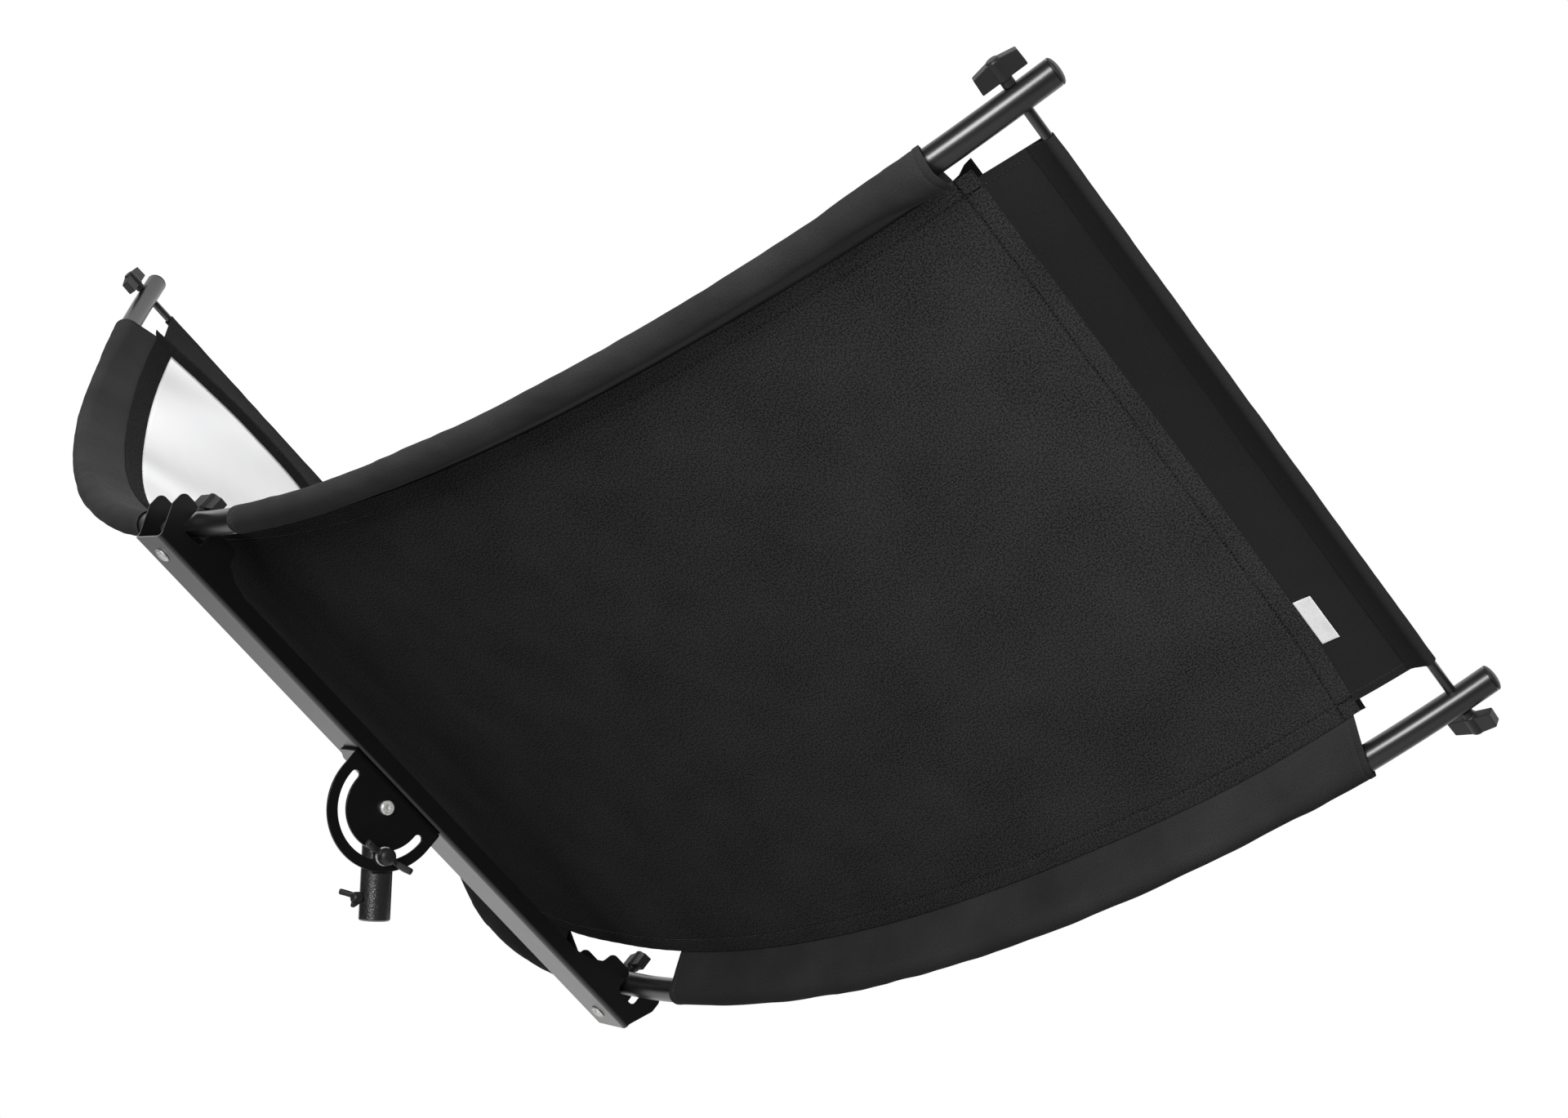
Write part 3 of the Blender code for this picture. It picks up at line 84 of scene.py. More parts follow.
# Channel
CHANNEL_LENGTH = 641.0 * MM
CHANNEL_WIDTH = 52.0 * MM
SHEET = 2.0 * MM
BEND_RADIUS = 4.5 * MM
FLANGE_HEIGHT = 18.0 * MM
EAR_OVERHANG = 11.0 * MM
EAR_TOP = 44.4 * MM
EAR_BOTTOM = 30.0 * MM
INNER_EAR_TOP = 41.5 * MM
INNER_EAR_REACH = 38.0 * MM
INNER_EAR_SLOPE = 16.0 * MM
EAR_ROUND = 6.0 * MM

# Bent tubes
TUBE_Y = 300.0 * MM
TUBE_RADIUS = 11.0 * MM
TUBE_WALL = 1.5 * MM
TUBE_ABOVE_WEB = 36.0 * MM
STRAIGHT_HALF = 20.0 * MM
CENTRE_TUBE_HALF = 361.0 * MM
CENTRE_BEND_RADIUS = 910.0 * MM
OUTER_BEND_RADIUS = 1000.0 * MM
OUTER_TUBE_END = 940.5 * MM
NECK_LENGTH = 60.0 * MM
BUTTON_FROM_JOINT = 20.0 * MM
BUTTON_RADIUS = 3.4 * MM
CAP_THICKNESS = 4.6 * MM
CAP_PLUG_LENGTH = 12.0 * MM

# Cross rods, screws and knobs
ROD_FROM_MIDDLE = 911.0 * MM
ROD_RADIUS = 4.0 * MM
ROD_HALF_LENGTH = 303.0 * MM
ROD_SCREW_RADIUS = 2.5 * MM
BOLT_RADIUS = 3.0 * MM
GAP = 0.3 * MM
KNOB_LENGTH = 37.6 * MM
KNOB_HEIGHT = 16.5 * MM
KNOB_PEAK = 3.3 * MM
KNOB_WING_THICKNESS = 8.4 * MM
KNOB_HUB_RADIUS = 6.15 * MM
KNOB_NECK_RADIUS = 5.0 * MM
KNOB_NECK_HEIGHT = 6.0 * MM
SADDLE_KNOB_TURNS = {"upper": radians(8.0), "lower": radians(-12.0)}
LOWER_RIGHT_KNOB_TURN = radians(-35.0)
LOCK_WING_TURN = radians(-31.0)
CLAMP_WING_TURN = radians(-20.0)

# Cloth
PANEL_HALF_LENGTH = 849.0 * MM
PANEL_HALF_WIDTH = 273.0 * MM
PANEL_THICKNESS = 0.8 * MM
SEAM_Y = 274.5 * MM
EDGE_LIFT = 25.0 * MM
EDGE_LIFT_STARTS_TO_FALL = 560.0 * MM
EDGE_LIFT_AT_PANEL_END = 15.0 * MM
MIDDLE_RISE = 8.0 * MM
MIDDLE_RISE_STARTS_TO_GROW = 300.0 * MM
MIDDLE_RISE_AT_RIGHT_END = 16.0 * MM
MIDDLE_RISE_AT_LEFT_END = 5.0 * MM
CLOTH_THICKNESS = 0.6 * MM
LAYER_GAP = 0.4 * MM
SLEEVE_RADIUS = 11.8 * MM
SLEEVE_START = 98.0 * MM
SLEEVE_END = 832.0 * MM
SLEEVE_END_LEAN = 6.5 * MM
SLEEVE_LEAN_OVER = 50.0 * MM
SLEEVE_BOW_OVER = 30.0 * MM
SLEEVE_TAIL = 22.0 * MM
FLAP_HALF_WIDTH = 261.0 * MM
FLAP_SHIFT = -4.0 * MM
FLAP_START = 839.0 * MM
HEM_RADIUS = 5.0 * MM
HEM_WRAP = radians(225.0)
HEM_RETURN = 16.0 * MM
BINDING_OUTER = 273.5 * MM
BINDING_WIDTH = 24.0 * MM
BINDING_THICKNESS = 1.0 * MM
BINDING_END = 853.0 * MM
SILVER_HALF_WIDTH = 249.2 * MM
SILVER_HALF_LENGTH = 828.7 * MM
SILVER_THICKNESS = 0.5 * MM
TAG_START = 160.0 * MM
TAG_WIDTH = 43.0 * MM
TAG_REACH = 867.0 * MM
TAG_THICKNESS = 0.6 * MM
STITCH_FROM_EDGE = 15.0 * MM
STITCH_PITCH = 3.3 * MM
SAG_AT_PANEL_END = 6.0 * MM
SAG_STARTS = 450.0 * MM
SAG_GROWS_OVER = 400.0 * MM
SLACK_ENDS_OVER = 60.0 * MM
WAVE_HEIGHT = 0.8 * MM
SMALL_WAVE_HEIGHT = 0.25 * MM
CORNER_PULL = 4.0 * MM

# How far the panel's end edges bow out, at places along their width
END_BOW_PLACES = [-273.0 * MM, -200.0 * MM, -100.0 * MM, 80.0 * MM, 190.0 * MM, 273.0 * MM]
END_BOW_RIGHT = [5.5 * MM, 4.0 * MM, 2.5 * MM, 3.5 * MM, 3.0 * MM, -3.5 * MM]
END_BOW_LEFT = [-5.0 * MM, -1.5 * MM, 1.0 * MM, 2.0 * MM, 2.0 * MM, 0.0 * MM]
END_BOW_GROWS_OVER = 89.0 * MM
CORNER_PULL_GROWS_OVER = 149.0 * MM

# How far each sleeve's outer end reaches along the tube beyond a straight cut, and hangs under it
SLEEVE_MOUTHS = {"upper_right": (4.5 * MM, 5.0 * MM), "lower_right": (-4.5 * MM, 0.5 * MM),
                 "upper_left": (-1.5 * MM, 1.0 * MM), "lower_left": (-1.5 * MM, 0.5 * MM)}
SLEEVE_MOUTH_STARTS = 775.0 * MM
SLEEVE_MOUTH_GROWS_OVER = 55.0 * MM
SLEEVE_SWELL = 1.6 * MM
SLEEVE_SWELL_STARTS = 735.0 * MM
SLEEVE_SWELL_GROWS_OVER = 50.0 * MM
JOINT_BUMP = 0.5 * MM
JOINT_BUMP_STARTS = 300.0 * MM
JOINT_BUMP_ENDS = 362.0 * MM
JOINT_BUMP_GROWS_OVER = 10.0 * MM
SLEEVE_HEM = 6.0 * MM
FLAP_HEM = 8.0 * MM

# How far the outer corners of the long loop strips stand out
STRIP_CORNERS = {"upper": (6.5 * MM, 5.0 * MM), "lower": (3.0 * MM, 5.0 * MM)}
STRIP_CORNER_STARTS = 835.0 * MM
STRIP_CORNER_GROWS_OVER = 16.0 * MM

# Lamps: place, target, width, height, power, and whether glossy surfaces mirror them
SOFT_LIGHTS = {
    "over": ((-0.6, -1.6, 2.6), (0.1, 0.1, 0.2), 2.2, 1.6, 98.0, False),
    "front": ((2.45, -0.1, 1.1), (0.5, 0.0, 0.35), 1.4, 1.4, 48.0, False),
    "left": ((2.2, -2.75, 1.15), (0.7, 0.2, 0.4), 1.2, 1.2, 68.0, True),
    "behind": ((-2.2, 1.6, 1.2), (0.0, 0.1, 0.2), 1.4, 1.4, 40.0, False)}

# White room and floor
WORLD_LIGHT = 0.11
DARK_ROOM = 0.02
WHITE_WALL_DIRECTION = (-0.50, 0.78, 0.38)
WHITE_WALL_STARTS = 0.15
WHITE_WALL_FULL = 0.75
FLOOR_HEIGHT = -1.15
FLOOR_HALF_WIDTH = 3.0
FLOOR_GREY = 0.34
FLOOR_GREY_TO_CAMERA = 0.66
FLOOR_IN_MIRRORS = 0.55
FLOOR_IN_MIRRORS_ENDS = (0.2, 0.9)
FLOOR_MELTS_OUT = (1.7, 2.9)

# Layers of the cloth, counted from the back panel's hollow side
BACK_LAYER = -PANEL_THICKNESS / 2
FIRST_LAYER = LAYER_GAP + CLOTH_THICKNESS / 2
SECOND_LAYER = FIRST_LAYER + CLOTH_THICKNESS + LAYER_GAP
BINDING_LAYER = SECOND_LAYER + CLOTH_THICKNESS / 2 + LAYER_GAP + BINDING_THICKNESS / 2
SILVER_LAYER = BINDING_LAYER - BINDING_THICKNESS / 2 + SILVER_THICKNESS / 2
TAG_LAYER = FIRST_LAYER - CLOTH_THICKNESS / 2 - LAYER_GAP - TAG_THICKNESS / 2

SIDES = {"right": 1, "left": -1}
ENDS = {"upper": -1, "lower": 1}
CORNERS = [(end_label + "_" + side_label, end_label, end, side)
           for end_label, end in ENDS.items() for side_label, side in SIDES.items()]
HEAD = (Matrix.Translation((HEAD_X, 0.0, PIVOT_HEIGHT)) @ Matrix.Rotation(-TILT_ANGLE, 4, "X")
        @ Matrix.Translation((0.0, -PIVOT_ALONG_CHANNEL, PIVOT_BELOW_WEB)))
HEAD_ROWS = np.array(HEAD)


# The bent line of the tubes and the cloth over it

def bent_line(distance):
    """Place and slope of the tubes' axis at distances along it from the middle."""
    reach = np.abs(distance)
    side = np.where(np.asarray(distance) < 0.0, -1.0, 1.0)
    first = (np.clip(reach - STRAIGHT_HALF, 0.0, CENTRE_TUBE_HALF - STRAIGHT_HALF)
             / CENTRE_BEND_RADIUS)
    slope = first + np.maximum(reach - CENTRE_TUBE_HALF, 0.0) / OUTER_BEND_RADIUS
    x = (np.minimum(reach, STRAIGHT_HALF) + CENTRE_BEND_RADIUS * np.sin(first)
         + OUTER_BEND_RADIUS * (np.sin(slope) - np.sin(first)))
    z = (CENTRE_BEND_RADIUS * (1.0 - np.cos(first))
         + OUTER_BEND_RADIUS * (np.cos(first) - np.cos(slope)))
    return side * x, TUBE_ABOVE_WEB + z, side * slope


def on_head(points):
    """Points of the head's own frame in the object's frame."""
    return points @ HEAD_ROWS[:3, :3].T + HEAD_ROWS[:3, 3]


def beside_line(distance, y, lift):
    """Points beside the tubes' line: y along the channel, lift towards the hollow side."""
    distance, y, lift = np.broadcast_arrays(distance, y, lift)
    x, z, slope = bent_line(distance)
    return on_head(np.stack([x - lift * np.sin(slope), y, z + lift * np.cos(slope)], axis=-1))


def ease(share):
    share = np.clip(share, 0.0, 1.0)
    return share * share * (3.0 - 2.0 * share)


def fall(distance, level, starts, at_panel_end, at_rod):
    """A height that eases down to the panel's end, then runs straight to the cross rod."""
    reach = np.abs(distance)
    eased = level + (at_panel_end - level) * ease((reach - starts) / (PANEL_HALF_LENGTH - starts))
    share = np.clip((reach - PANEL_HALF_LENGTH) / (ROD_FROM_MIDDLE - PANEL_HALF_LENGTH), 0.0, 1.0)
    straight = at_panel_end + (at_rod - at_panel_end) * share
    return np.where(reach <= PANEL_HALF_LENGTH, eased, straight)


def edge_lift(distance):
    return fall(distance, EDGE_LIFT, EDGE_LIFT_STARTS_TO_FALL, EDGE_LIFT_AT_PANEL_END, HEM_RADIUS)


def ripples(along, across, wavelength, seed, waves=9):
    """Soft uneven waves, about one unit high, the same on every run."""
    chance = np.random.default_rng(seed)
    total = np.zeros(np.broadcast(along, across).shape)
    for _ in range(waves):
        angle = chance.uniform(0.0, pi)
        length = wavelength * chance.uniform(0.6, 1.7)
        phase = chance.uniform(0.0, 2.0 * pi)
        place = along * cos(angle) + across * sin(angle)
        total = total + np.sin(2.0 * pi * place / length + phase)
    return total / waves ** 0.5


def cloth_lift(distance, y):
    """Lift of the stretched cloth, with its sag towards the lower end and its slight waves."""
    out = np.clip(np.abs(y) / SEAM_Y, 0.0, 1.0)
    at_end = np.where(np.asarray(distance) >= 0.0, MIDDLE_RISE_AT_RIGHT_END,
                      MIDDLE_RISE_AT_LEFT_END)
    rise = fall(distance, MIDDLE_RISE, MIDDLE_RISE_STARTS_TO_GROW, at_end, 0.0)
    reach = np.abs(distance)
    by_rod = 1.0 - np.clip((reach - PANEL_HALF_LENGTH) / SLACK_ENDS_OVER, 0.0, 1.0)
    sag = (SAG_AT_PANEL_END * np.sin(pi * np.clip(y / SEAM_Y, -1.0, 1.0))
           * ease((reach - SAG_STARTS) / SAG_GROWS_OVER) * by_rod)
    slack = (1.0 - out ** 4) * by_rod
    wave = (WAVE_HEIGHT * ripples(distance, y, 0.42, 11)
            + SMALL_WAVE_HEIGHT * ripples(distance, y, 0.12, 5))
    return edge_lift(distance) + rise * (1.0 - out ** 2) - sag + slack * wave


def panel_end_shift(distance, y):
    """How far the panel's end edges bow out along their width, and are pulled in at corners."""
    right = np.interp(y, END_BOW_PLACES, END_BOW_RIGHT)
    left = np.interp(y, END_BOW_PLACES, END_BOW_LEFT)
    share = ease((np.abs(distance) - PANEL_HALF_LENGTH) / END_BOW_GROWS_OVER + 1.0)
    return np.where(np.asarray(distance) < 0.0, -left, right) * share


def corner_pull(distance, y):
    """How far the low right corner is drawn in towards the panel's middle."""
    share = ease((np.asarray(distance) - PANEL_HALF_LENGTH) / CORNER_PULL_GROWS_OVER + 1.0)
    return -CORNER_PULL * share * np.clip(np.asarray(y) / SEAM_Y, 0.0, 1.0) ** 2


def on_panel(distance, y, layer):
    """Places in one layer of the stretched cloth, with its bowed ends and drawn-in corner."""
    return beside_line(distance + panel_end_shift(distance, y), y + corner_pull(distance, y),
                       cloth_lift(distance, y) + layer)


# Mesh making

def keep(name, mesh, finish, slot, body, *nodes, smooth=35.0, flat=False):
    """Put a finished mesh in the scene, moving with a body and standing for its nodes.

    The flat faces of a folded or moulded piece can be kept flat in the light.
    """
    mesh.name = name
    mesh.materials.clear()
    mesh.materials.append(finish)
    piece = bpy.data.objects.new(name, mesh)
    bpy.context.scene.collection.objects.link(piece)
    mesh.shade_smooth()
    if smooth is not None:
        mesh.set_sharp_from_angle(angle=radians(smooth))
    if flat:
        even = piece.modifiers.new("even", "WEIGHTED_NORMAL")
        even.keep_sharp = True
        graph = bpy.context.evaluated_depsgraph_get()
        graph.update()
        piece.data = bpy.data.meshes.new_from_object(piece.evaluated_get(graph))
        piece.data.name = name
        piece.modifiers.clear()
    if nodes:
        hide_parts(*nodes)
    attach(piece, body)
    return piece


def solid_mesh(points, faces, uv=None):
    """A mesh from points and faces, turned so that its faces point outwards."""
    mesh = bpy.data.meshes.new("work")
    mesh.from_pydata([tuple(point) for point in points], [], [tuple(face) for face in faces])
    if uv is not None:
        layer = mesh.uv_layers.new(name="cloth")
        corners = np.empty(len(mesh.loops), dtype=np.int32)
        mesh.loops.foreach_get("vertex_index", corners)
        layer.data.foreach_set("uv", uv[corners].ravel())
    return cleaned(mesh, merge=1e-7)


def cleaned(mesh, merge=0.0, thinnest=0.0):
    """Near points merged, or thin faces closed up, and every face turned outwards."""
    work = bmesh.new()
    work.from_mesh(mesh)
    if merge:
        bmesh.ops.remove_doubles(work, verts=work.verts, dist=merge)
    if thinnest:
        bmesh.ops.dissolve_degenerate(work, dist=thinnest, edges=work.edges)
    bmesh.ops.recalc_face_normals(work, faces=work.faces)
    work.to_mesh(mesh)
    work.free()
    return mesh


def quads(rows, columns, start=0, wrap=False):
    """Faces of a grid of points that are numbered row by row."""
    numbers = np.arange(rows * columns).reshape(rows, columns) + start
    if wrap:
        numbers = np.concatenate([numbers, numbers[:, :1]], axis=1)
    return np.stack([numbers[:-1, :-1], numbers[1:, :-1], numbers[1:, 1:], numbers[:-1, 1:]],
                    axis=-1).reshape(-1, 4)


def sheet_mesh(points, uv, thickness):
    """A grid of cloth given a thickness evenly to both sides, with closed edges."""
    rows, columns = points.shape[:2]
    along = np.gradient(points, axis=0)
    across = np.gradient(points, axis=1)
    normal = np.cross(along, across)
    normal /= np.linalg.norm(normal, axis=-1, keepdims=True) + 1e-12
    thickness = np.broadcast_to(thickness, (rows, columns))[..., None]
    top = (points + normal * thickness / 2).reshape(-1, 3)
    bottom = (points - normal * thickness / 2).reshape(-1, 3)
    count = rows * columns
    upper = quads(rows, columns)
    lower = upper[:, ::-1] + count
    numbers = np.arange(count).reshape(rows, columns)
    rim = np.concatenate([numbers[0, :-1], numbers[:-1, -1], numbers[-1, :0:-1], numbers[:0:-1, 0]])
    after = np.roll(rim, -1)
    edge = np.stack([rim, after, after + count, rim + count], axis=-1)
    flat = uv.reshape(-1, 2)
    return solid_mesh(np.concatenate([top, bottom]), np.concatenate([upper, lower, edge]),
                      np.concatenate([flat, flat]))


def ring_mesh(rings, closed=False):
    """A skin through rings of points; a ring of equal points closes to a pole."""
    rings = np.asarray(rings)
    count, sides = rings.shape[:2]
    faces = list(quads(count, sides, wrap=True))
    if closed:
        last, first = (count - 1) * sides, 0
        for i in range(sides):
            j = (i + 1) % sides
            faces.append((last + i, first + i, first + j, last + j))
    return cleaned(solid_mesh(rings.reshape(-1, 3), faces), thinnest=1e-8)


def eased_corners(profile, radius=0.4 * MM, steps=3, closed=False):
    """A line of points whose corners are rounded, so that edges catch the light."""
    points = [Vector(point) for point in profile]
    out = []
    for i, here in enumerate(points):
        if not closed and i in (0, len(points) - 1):
            out.append(here)
            continue
        before, after = points[i - 1] - here, points[(i + 1) % len(points)] - here
        reach = min(radius, 0.45 * before.length, 0.45 * after.length)
        if reach < 1e-6:
            out.append(here)
            continue
        first, last = here + before.normalized() * reach, here + after.normalized() * reach
        for step in range(steps + 1):
            share = step / steps
            out.append(first.lerp(here, share).lerp(here.lerp(last, share), share))
    return [tuple(point) for point in out]


def turned(profile, place=Matrix(), sides=48, radius=0.4 * MM, closed=False):
    """A lathe shape about local Z from (radius, height) points."""
    line = np.array(eased_corners(profile, radius, closed=closed))
    swing = np.linspace(0.0, 2.0 * pi, sides, endpoint=False)
    rings = np.stack([np.outer(line[:, 0], np.cos(swing)), np.outer(line[:, 0], np.sin(swing)),
                      np.repeat(line[:, 1:2], sides, axis=1)], axis=-1)
    mesh = ring_mesh(rings, closed)
    mesh.transform(place)
    return mesh


def bent_turned(profile, y, side, sides=48, closed=False, step=14.0 * MM):
    """A lathe shape whose axis follows the bent line, from (distance, radius) points."""
    line = [profile[0]]
    ends = profile[1:] + (profile[:1] if closed else [])
    for here, after in zip(profile, ends):
        parts = max(1, int(ceil(abs(after[0] - here[0]) / step)))
        line += [(here[0] + (after[0] - here[0]) * i / parts,
                  here[1] + (after[1] - here[1]) * i / parts) for i in range(1, parts + 1)]
    if closed:
        line = line[:-1]
    line = np.array(line)
    swing = np.linspace(0.0, 2.0 * pi, sides, endpoint=False)
    rings = beside_line(side * line[:, :1], y + np.outer(line[:, 1], np.cos(swing)),
                        np.outer(line[:, 1], np.sin(swing)))
    return ring_mesh(rings, closed)


def rounded(corners, segments=7):
    """An outline whose corners (x, y, radius) become arcs."""
    points = []
    for i, (x, y, radius) in enumerate(corners):
        corner = Vector((x, y))
        before = (Vector(corners[i - 1][:2]) - corner).normalized()
        after = (Vector(corners[(i + 1) % len(corners)][:2]) - corner).normalized()
        if radius == 0.0:
            points.append((x, y))
            continue
        half = acos(max(-1.0, min(1.0, before.dot(after)))) / 2
        centre = corner + (before + after).normalized() * radius / sin(half)
        first = corner + before * (radius / sin(half) * cos(half)) - centre
        last = corner + after * (radius / sin(half) * cos(half)) - centre
        sweep = first.angle_signed(last)
        for step in range(segments + 1):
            arm = Vector(first)
            arm.rotate(Matrix.Rotation(-sweep * step / segments, 2))
            points.append(tuple(centre + arm))
    return points


def arc(radius, start, end, steps, centre=(0.0, 0.0)):
    span = (end - start) / steps
    return [(centre[0] + radius * cos(start + span * i), centre[1] + radius * sin(start + span * i))
            for i in range(steps + 1)]


def made_plain(thing):
    """The evaluated shape of an object as a plain mesh; the object goes."""
    graph = bpy.context.evaluated_depsgraph_get()
    graph.update()
    mesh = bpy.data.meshes.new_from_object(thing.evaluated_get(graph))
    mesh.transform(thing.matrix_world)
    bpy.data.objects.remove(thing, do_unlink=True)
    return mesh


def loose(mesh_or_curve, place=Matrix()):
    thing = bpy.data.objects.new("work", mesh_or_curve)
    bpy.context.scene.collection.objects.link(thing)
    thing.matrix_world = place
    return thing


def plate(outlines, thickness, place=Matrix(), edge=0.35 * MM):
    """Flat outlines, the first the rim and the rest holes, as a plate with softened edges."""
    curve = bpy.data.curves.new("work", "CURVE")
    curve.dimensions = "2D"
    curve.fill_mode = "BOTH"
    curve.extrude = thickness / 2 - edge
    curve.bevel_depth = edge
    curve.bevel_resolution = 2
    curve.offset = -edge
    for outline in outlines:
        spline = curve.splines.new("POLY")
        spline.points.add(len(outline) - 1)
        for point, (across, along) in zip(spline.points, outline):
            point.co = (across, along, 0.0, 1.0)
        spline.use_cyclic_u = True
    return cleaned(made_plain(loose(curve, place)), merge=1e-6)


def changed(mesh, *steps):
    """The mesh after modifiers, each given as its kind and its settings."""
    body = loose(mesh)
    for kind, settings in steps:
        modifier = body.modifiers.new(kind.lower(), kind)
        for name, value in settings.items():
            setattr(modifier, name, value)
    return made_plain(body)


def combined(mesh, tools, operation):
    """Cut tools from a mesh, or join them on."""
    helpers = [loose(tool) for tool in tools]
    result = changed(mesh, *[
        ("BOOLEAN", {"operation": operation, "solver": "EXACT", "object": helper})
        for helper in helpers])
    for helper in helpers:
        bpy.data.objects.remove(helper, do_unlink=True)
    return result


def softened(mesh, width, angle=30.0, segments=3):
    """Small bevels on every hard edge."""
    return changed(mesh, ("BEVEL", {
        "width": width, "segments": segments, "limit_method": "ANGLE",
        "angle_limit": radians(angle), "miter_outer": "MITER_ARC", "harden_normals": False}))


def moulded(meshes, grain, smoothing):
    """Joined lumps melted into one moulded body."""
    return changed(joined(meshes), ("REMESH", {"mode": "VOXEL", "voxel_size": grain}),
                   ("SMOOTH", {"factor": 0.5, "iterations": smoothing}))


def joined(meshes):
    work = bmesh.new()
    for mesh in meshes:
        work.from_mesh(mesh)
    out = bpy.data.meshes.new("work")
    work.to_mesh(out)
    work.free()
    return out


def facing(direction, place=(0.0, 0.0, 0.0)):
    """A place whose local Z points along a direction."""
    turn = Vector(direction).normalized().to_track_quat("Z", "Y").to_matrix().to_4x4()
    return Matrix.Translation(place) @ turn


def framed(origin, z_axis, x_axis):
    z_axis = Vector(z_axis).normalized()
    x_axis = Vector(x_axis)
    x_axis = (x_axis - z_axis * x_axis.dot(z_axis)).normalized()
    turn = Matrix((x_axis, z_axis.cross(x_axis), z_axis)).transposed().to_4x4()
    return Matrix.Translation(origin) @ turn


FRONTWARD = (1, 0, 0)
UPRIGHT_PLATE = Matrix(((0, 0, 1, 0), (1, 0, 0, 0), (0, 1, 0, 0), (0, 0, 0, 1)))
SIDEWAYS_PLATE = Matrix(((1, 0, 0, 0), (0, 0, -1, 0), (0, 1, 0, 0), (0, 0, 0, 1)))


# Finishes

class Nodes:
    """Adds nodes to a tree and joins them."""

    def __init__(self, tree):
        self.nodes, self.links = tree.nodes, tree.links

    def node(self, kind, values=None, **settings):
        node = self.nodes.new(kind)
        for name, value in settings.items():
            setattr(node, name, value)
        for name, value in (values or {}).items():
            node.inputs[name].default_value = value
        return node

    def join(self, source, target):
        self.links.new(source, target)
        return target.node

    def ranged(self, value, low, high, from_low=0.0, from_high=1.0, **settings):
        change = self.node("ShaderNodeMapRange", {
            "From Min": from_low, "From Max": from_high, "To Min": low, "To Max": high}, **settings)
        self.join(value, change.inputs["Value"])
        return change.outputs["Result"]

    def math(self, first, second, operation="ADD"):
        math = self.node("ShaderNodeMath", operation=operation)
        for source, target in ((first, math.inputs[0]), (second, math.inputs[1])):
            if isinstance(source, float):
                target.default_value = source
            else:
                self.join(source, target)
        return math.outputs["Value"]


class Finish(Nodes):
    """A Principled material whose colour, gloss and relief come from patterns."""

    def __init__(self, name, color, roughness, metallic=0.0):
        self.material = bpy.data.materials.new(name)
        self.material.use_nodes = True
        super().__init__(self.material.node_tree)
        self.shader = self.nodes["Principled BSDF"]
        self.set("Base Color", (*color, 1.0))
        self.set("Roughness", roughness)
        self.set("Metallic", metallic)
        self.color = color

    def set(self, socket, value):
        self.shader.inputs[socket].default_value = value

    def coordinates(self, stretch=(1.0, 1.0, 1.0), cloth=False, turn=None):
        """Where a pattern lies: on the cloth's own cut in metres, or in the object's frame."""
        if cloth:
            source = self.node("ShaderNodeUVMap", uv_map="cloth").outputs["UV"]
        else:
            source = self.node("ShaderNodeTexCoord").outputs["Object"]
        if turn is None:
            mapping = self.node("ShaderNodeMapping", {"Scale": stretch})
        else:
            mapping = self.node("ShaderNodeMapping", {
                "Scale": [1.0 / share for share in stretch], "Rotation": (0.0, 0.0, turn)},
                vector_type="TEXTURE")
        self.join(source, mapping.inputs["Vector"])
        return mapping.outputs["Vector"]

    def noise(self, where, scale, detail=2.0, roughness=0.5, distortion=0.0):
        noise = self.node("ShaderNodeTexNoise", {
            "Scale": scale, "Detail": detail, "Roughness": roughness, "Distortion": distortion})
        self.join(where, noise.inputs["Vector"])
        return noise.outputs["Fac"]

    def cells(self, where, scale, feature="F1"):
        cells = self.node("ShaderNodeTexVoronoi", {"Scale": scale}, feature=feature)
        self.join(where, cells.inputs["Vector"])
        return cells.outputs["Distance"]

    def wave(self, where, scale, direction="X", distortion=0.0):
        wave = self.node("ShaderNodeTexWave", {"Scale": scale, "Distortion": distortion},
                         wave_type="BANDS", bands_direction=direction)
        self.join(where, wave.inputs["Vector"])
        return wave.outputs["Fac"]

    def shade(self, value, dark, light):
        """Colour from a grey value: dark and light are shares of the finish's own colour."""
        ramp = self.node("ShaderNodeMix", data_type="RGBA")
        ramp.inputs["A"].default_value = (*[channel * dark for channel in self.color], 1.0)
        ramp.inputs["B"].default_value = (*[channel * light for channel in self.color], 1.0)
        self.join(value, ramp.inputs["Factor"])
        self.join(ramp.outputs["Result"], self.shader.inputs["Base Color"])
        return ramp

    def rough(self, value, low, high):
        self.join(self.ranged(value, low, high), self.shader.inputs["Roughness"])

    def bump(self, height, depth, strength=1.0):
        """Raise the surface by a grey height; a second call lies over the first."""
        bump = self.node("ShaderNodeBump", {"Strength": strength, "Distance": depth})
        self.join(height, bump.inputs["Height"])
        socket = self.shader.inputs["Normal"]
        if socket.is_linked:
            self.join(socket.links[0].from_socket, bump.inputs["Normal"])
        self.join(bump.outputs["Normal"], socket)


def cast_paint():
    finish = Finish("hammered_black_paint", (0.012, 0.012, 0.0125), 0.34)
    where = finish.coordinates()
    dimples = finish.cells(where, 680.0, "SMOOTH_F1")
    finish.bump(dimples, 0.38 * MM, 0.9)
    finish.bump(finish.noise(where, 1300.0), 0.15 * MM, 0.8)
    finish.rough(finish.noise(where, 260.0, 3.0), 0.24, 0.38)
    finish.set("Specular IOR Level", 1.0)
    finish.set("Coat Weight", 1.0)
    finish.set("Coat IOR", 1.95)
    finish.set("Coat Roughness", 0.24)
    finish.shade(finish.noise(where, 120.0), 0.85, 1.2)
    return finish.material


def channel_paint():
    finish = Finish("satin_black_paint", (0.003, 0.003, 0.0031), 0.34)
    where = finish.coordinates()
    finish.bump(finish.noise(where, 1100.0, 3.0), 0.06 * MM, 0.6)
    finish.rough(finish.noise(where, 60.0, 5.0, 0.6), 0.30, 0.38)
    finish.set("Coat Weight", 0.8)
    finish.set("Coat Roughness", 0.30)
    finish.shade(finish.noise(where, 25.0, 4.0), 0.88, 1.15)
    return finish.material


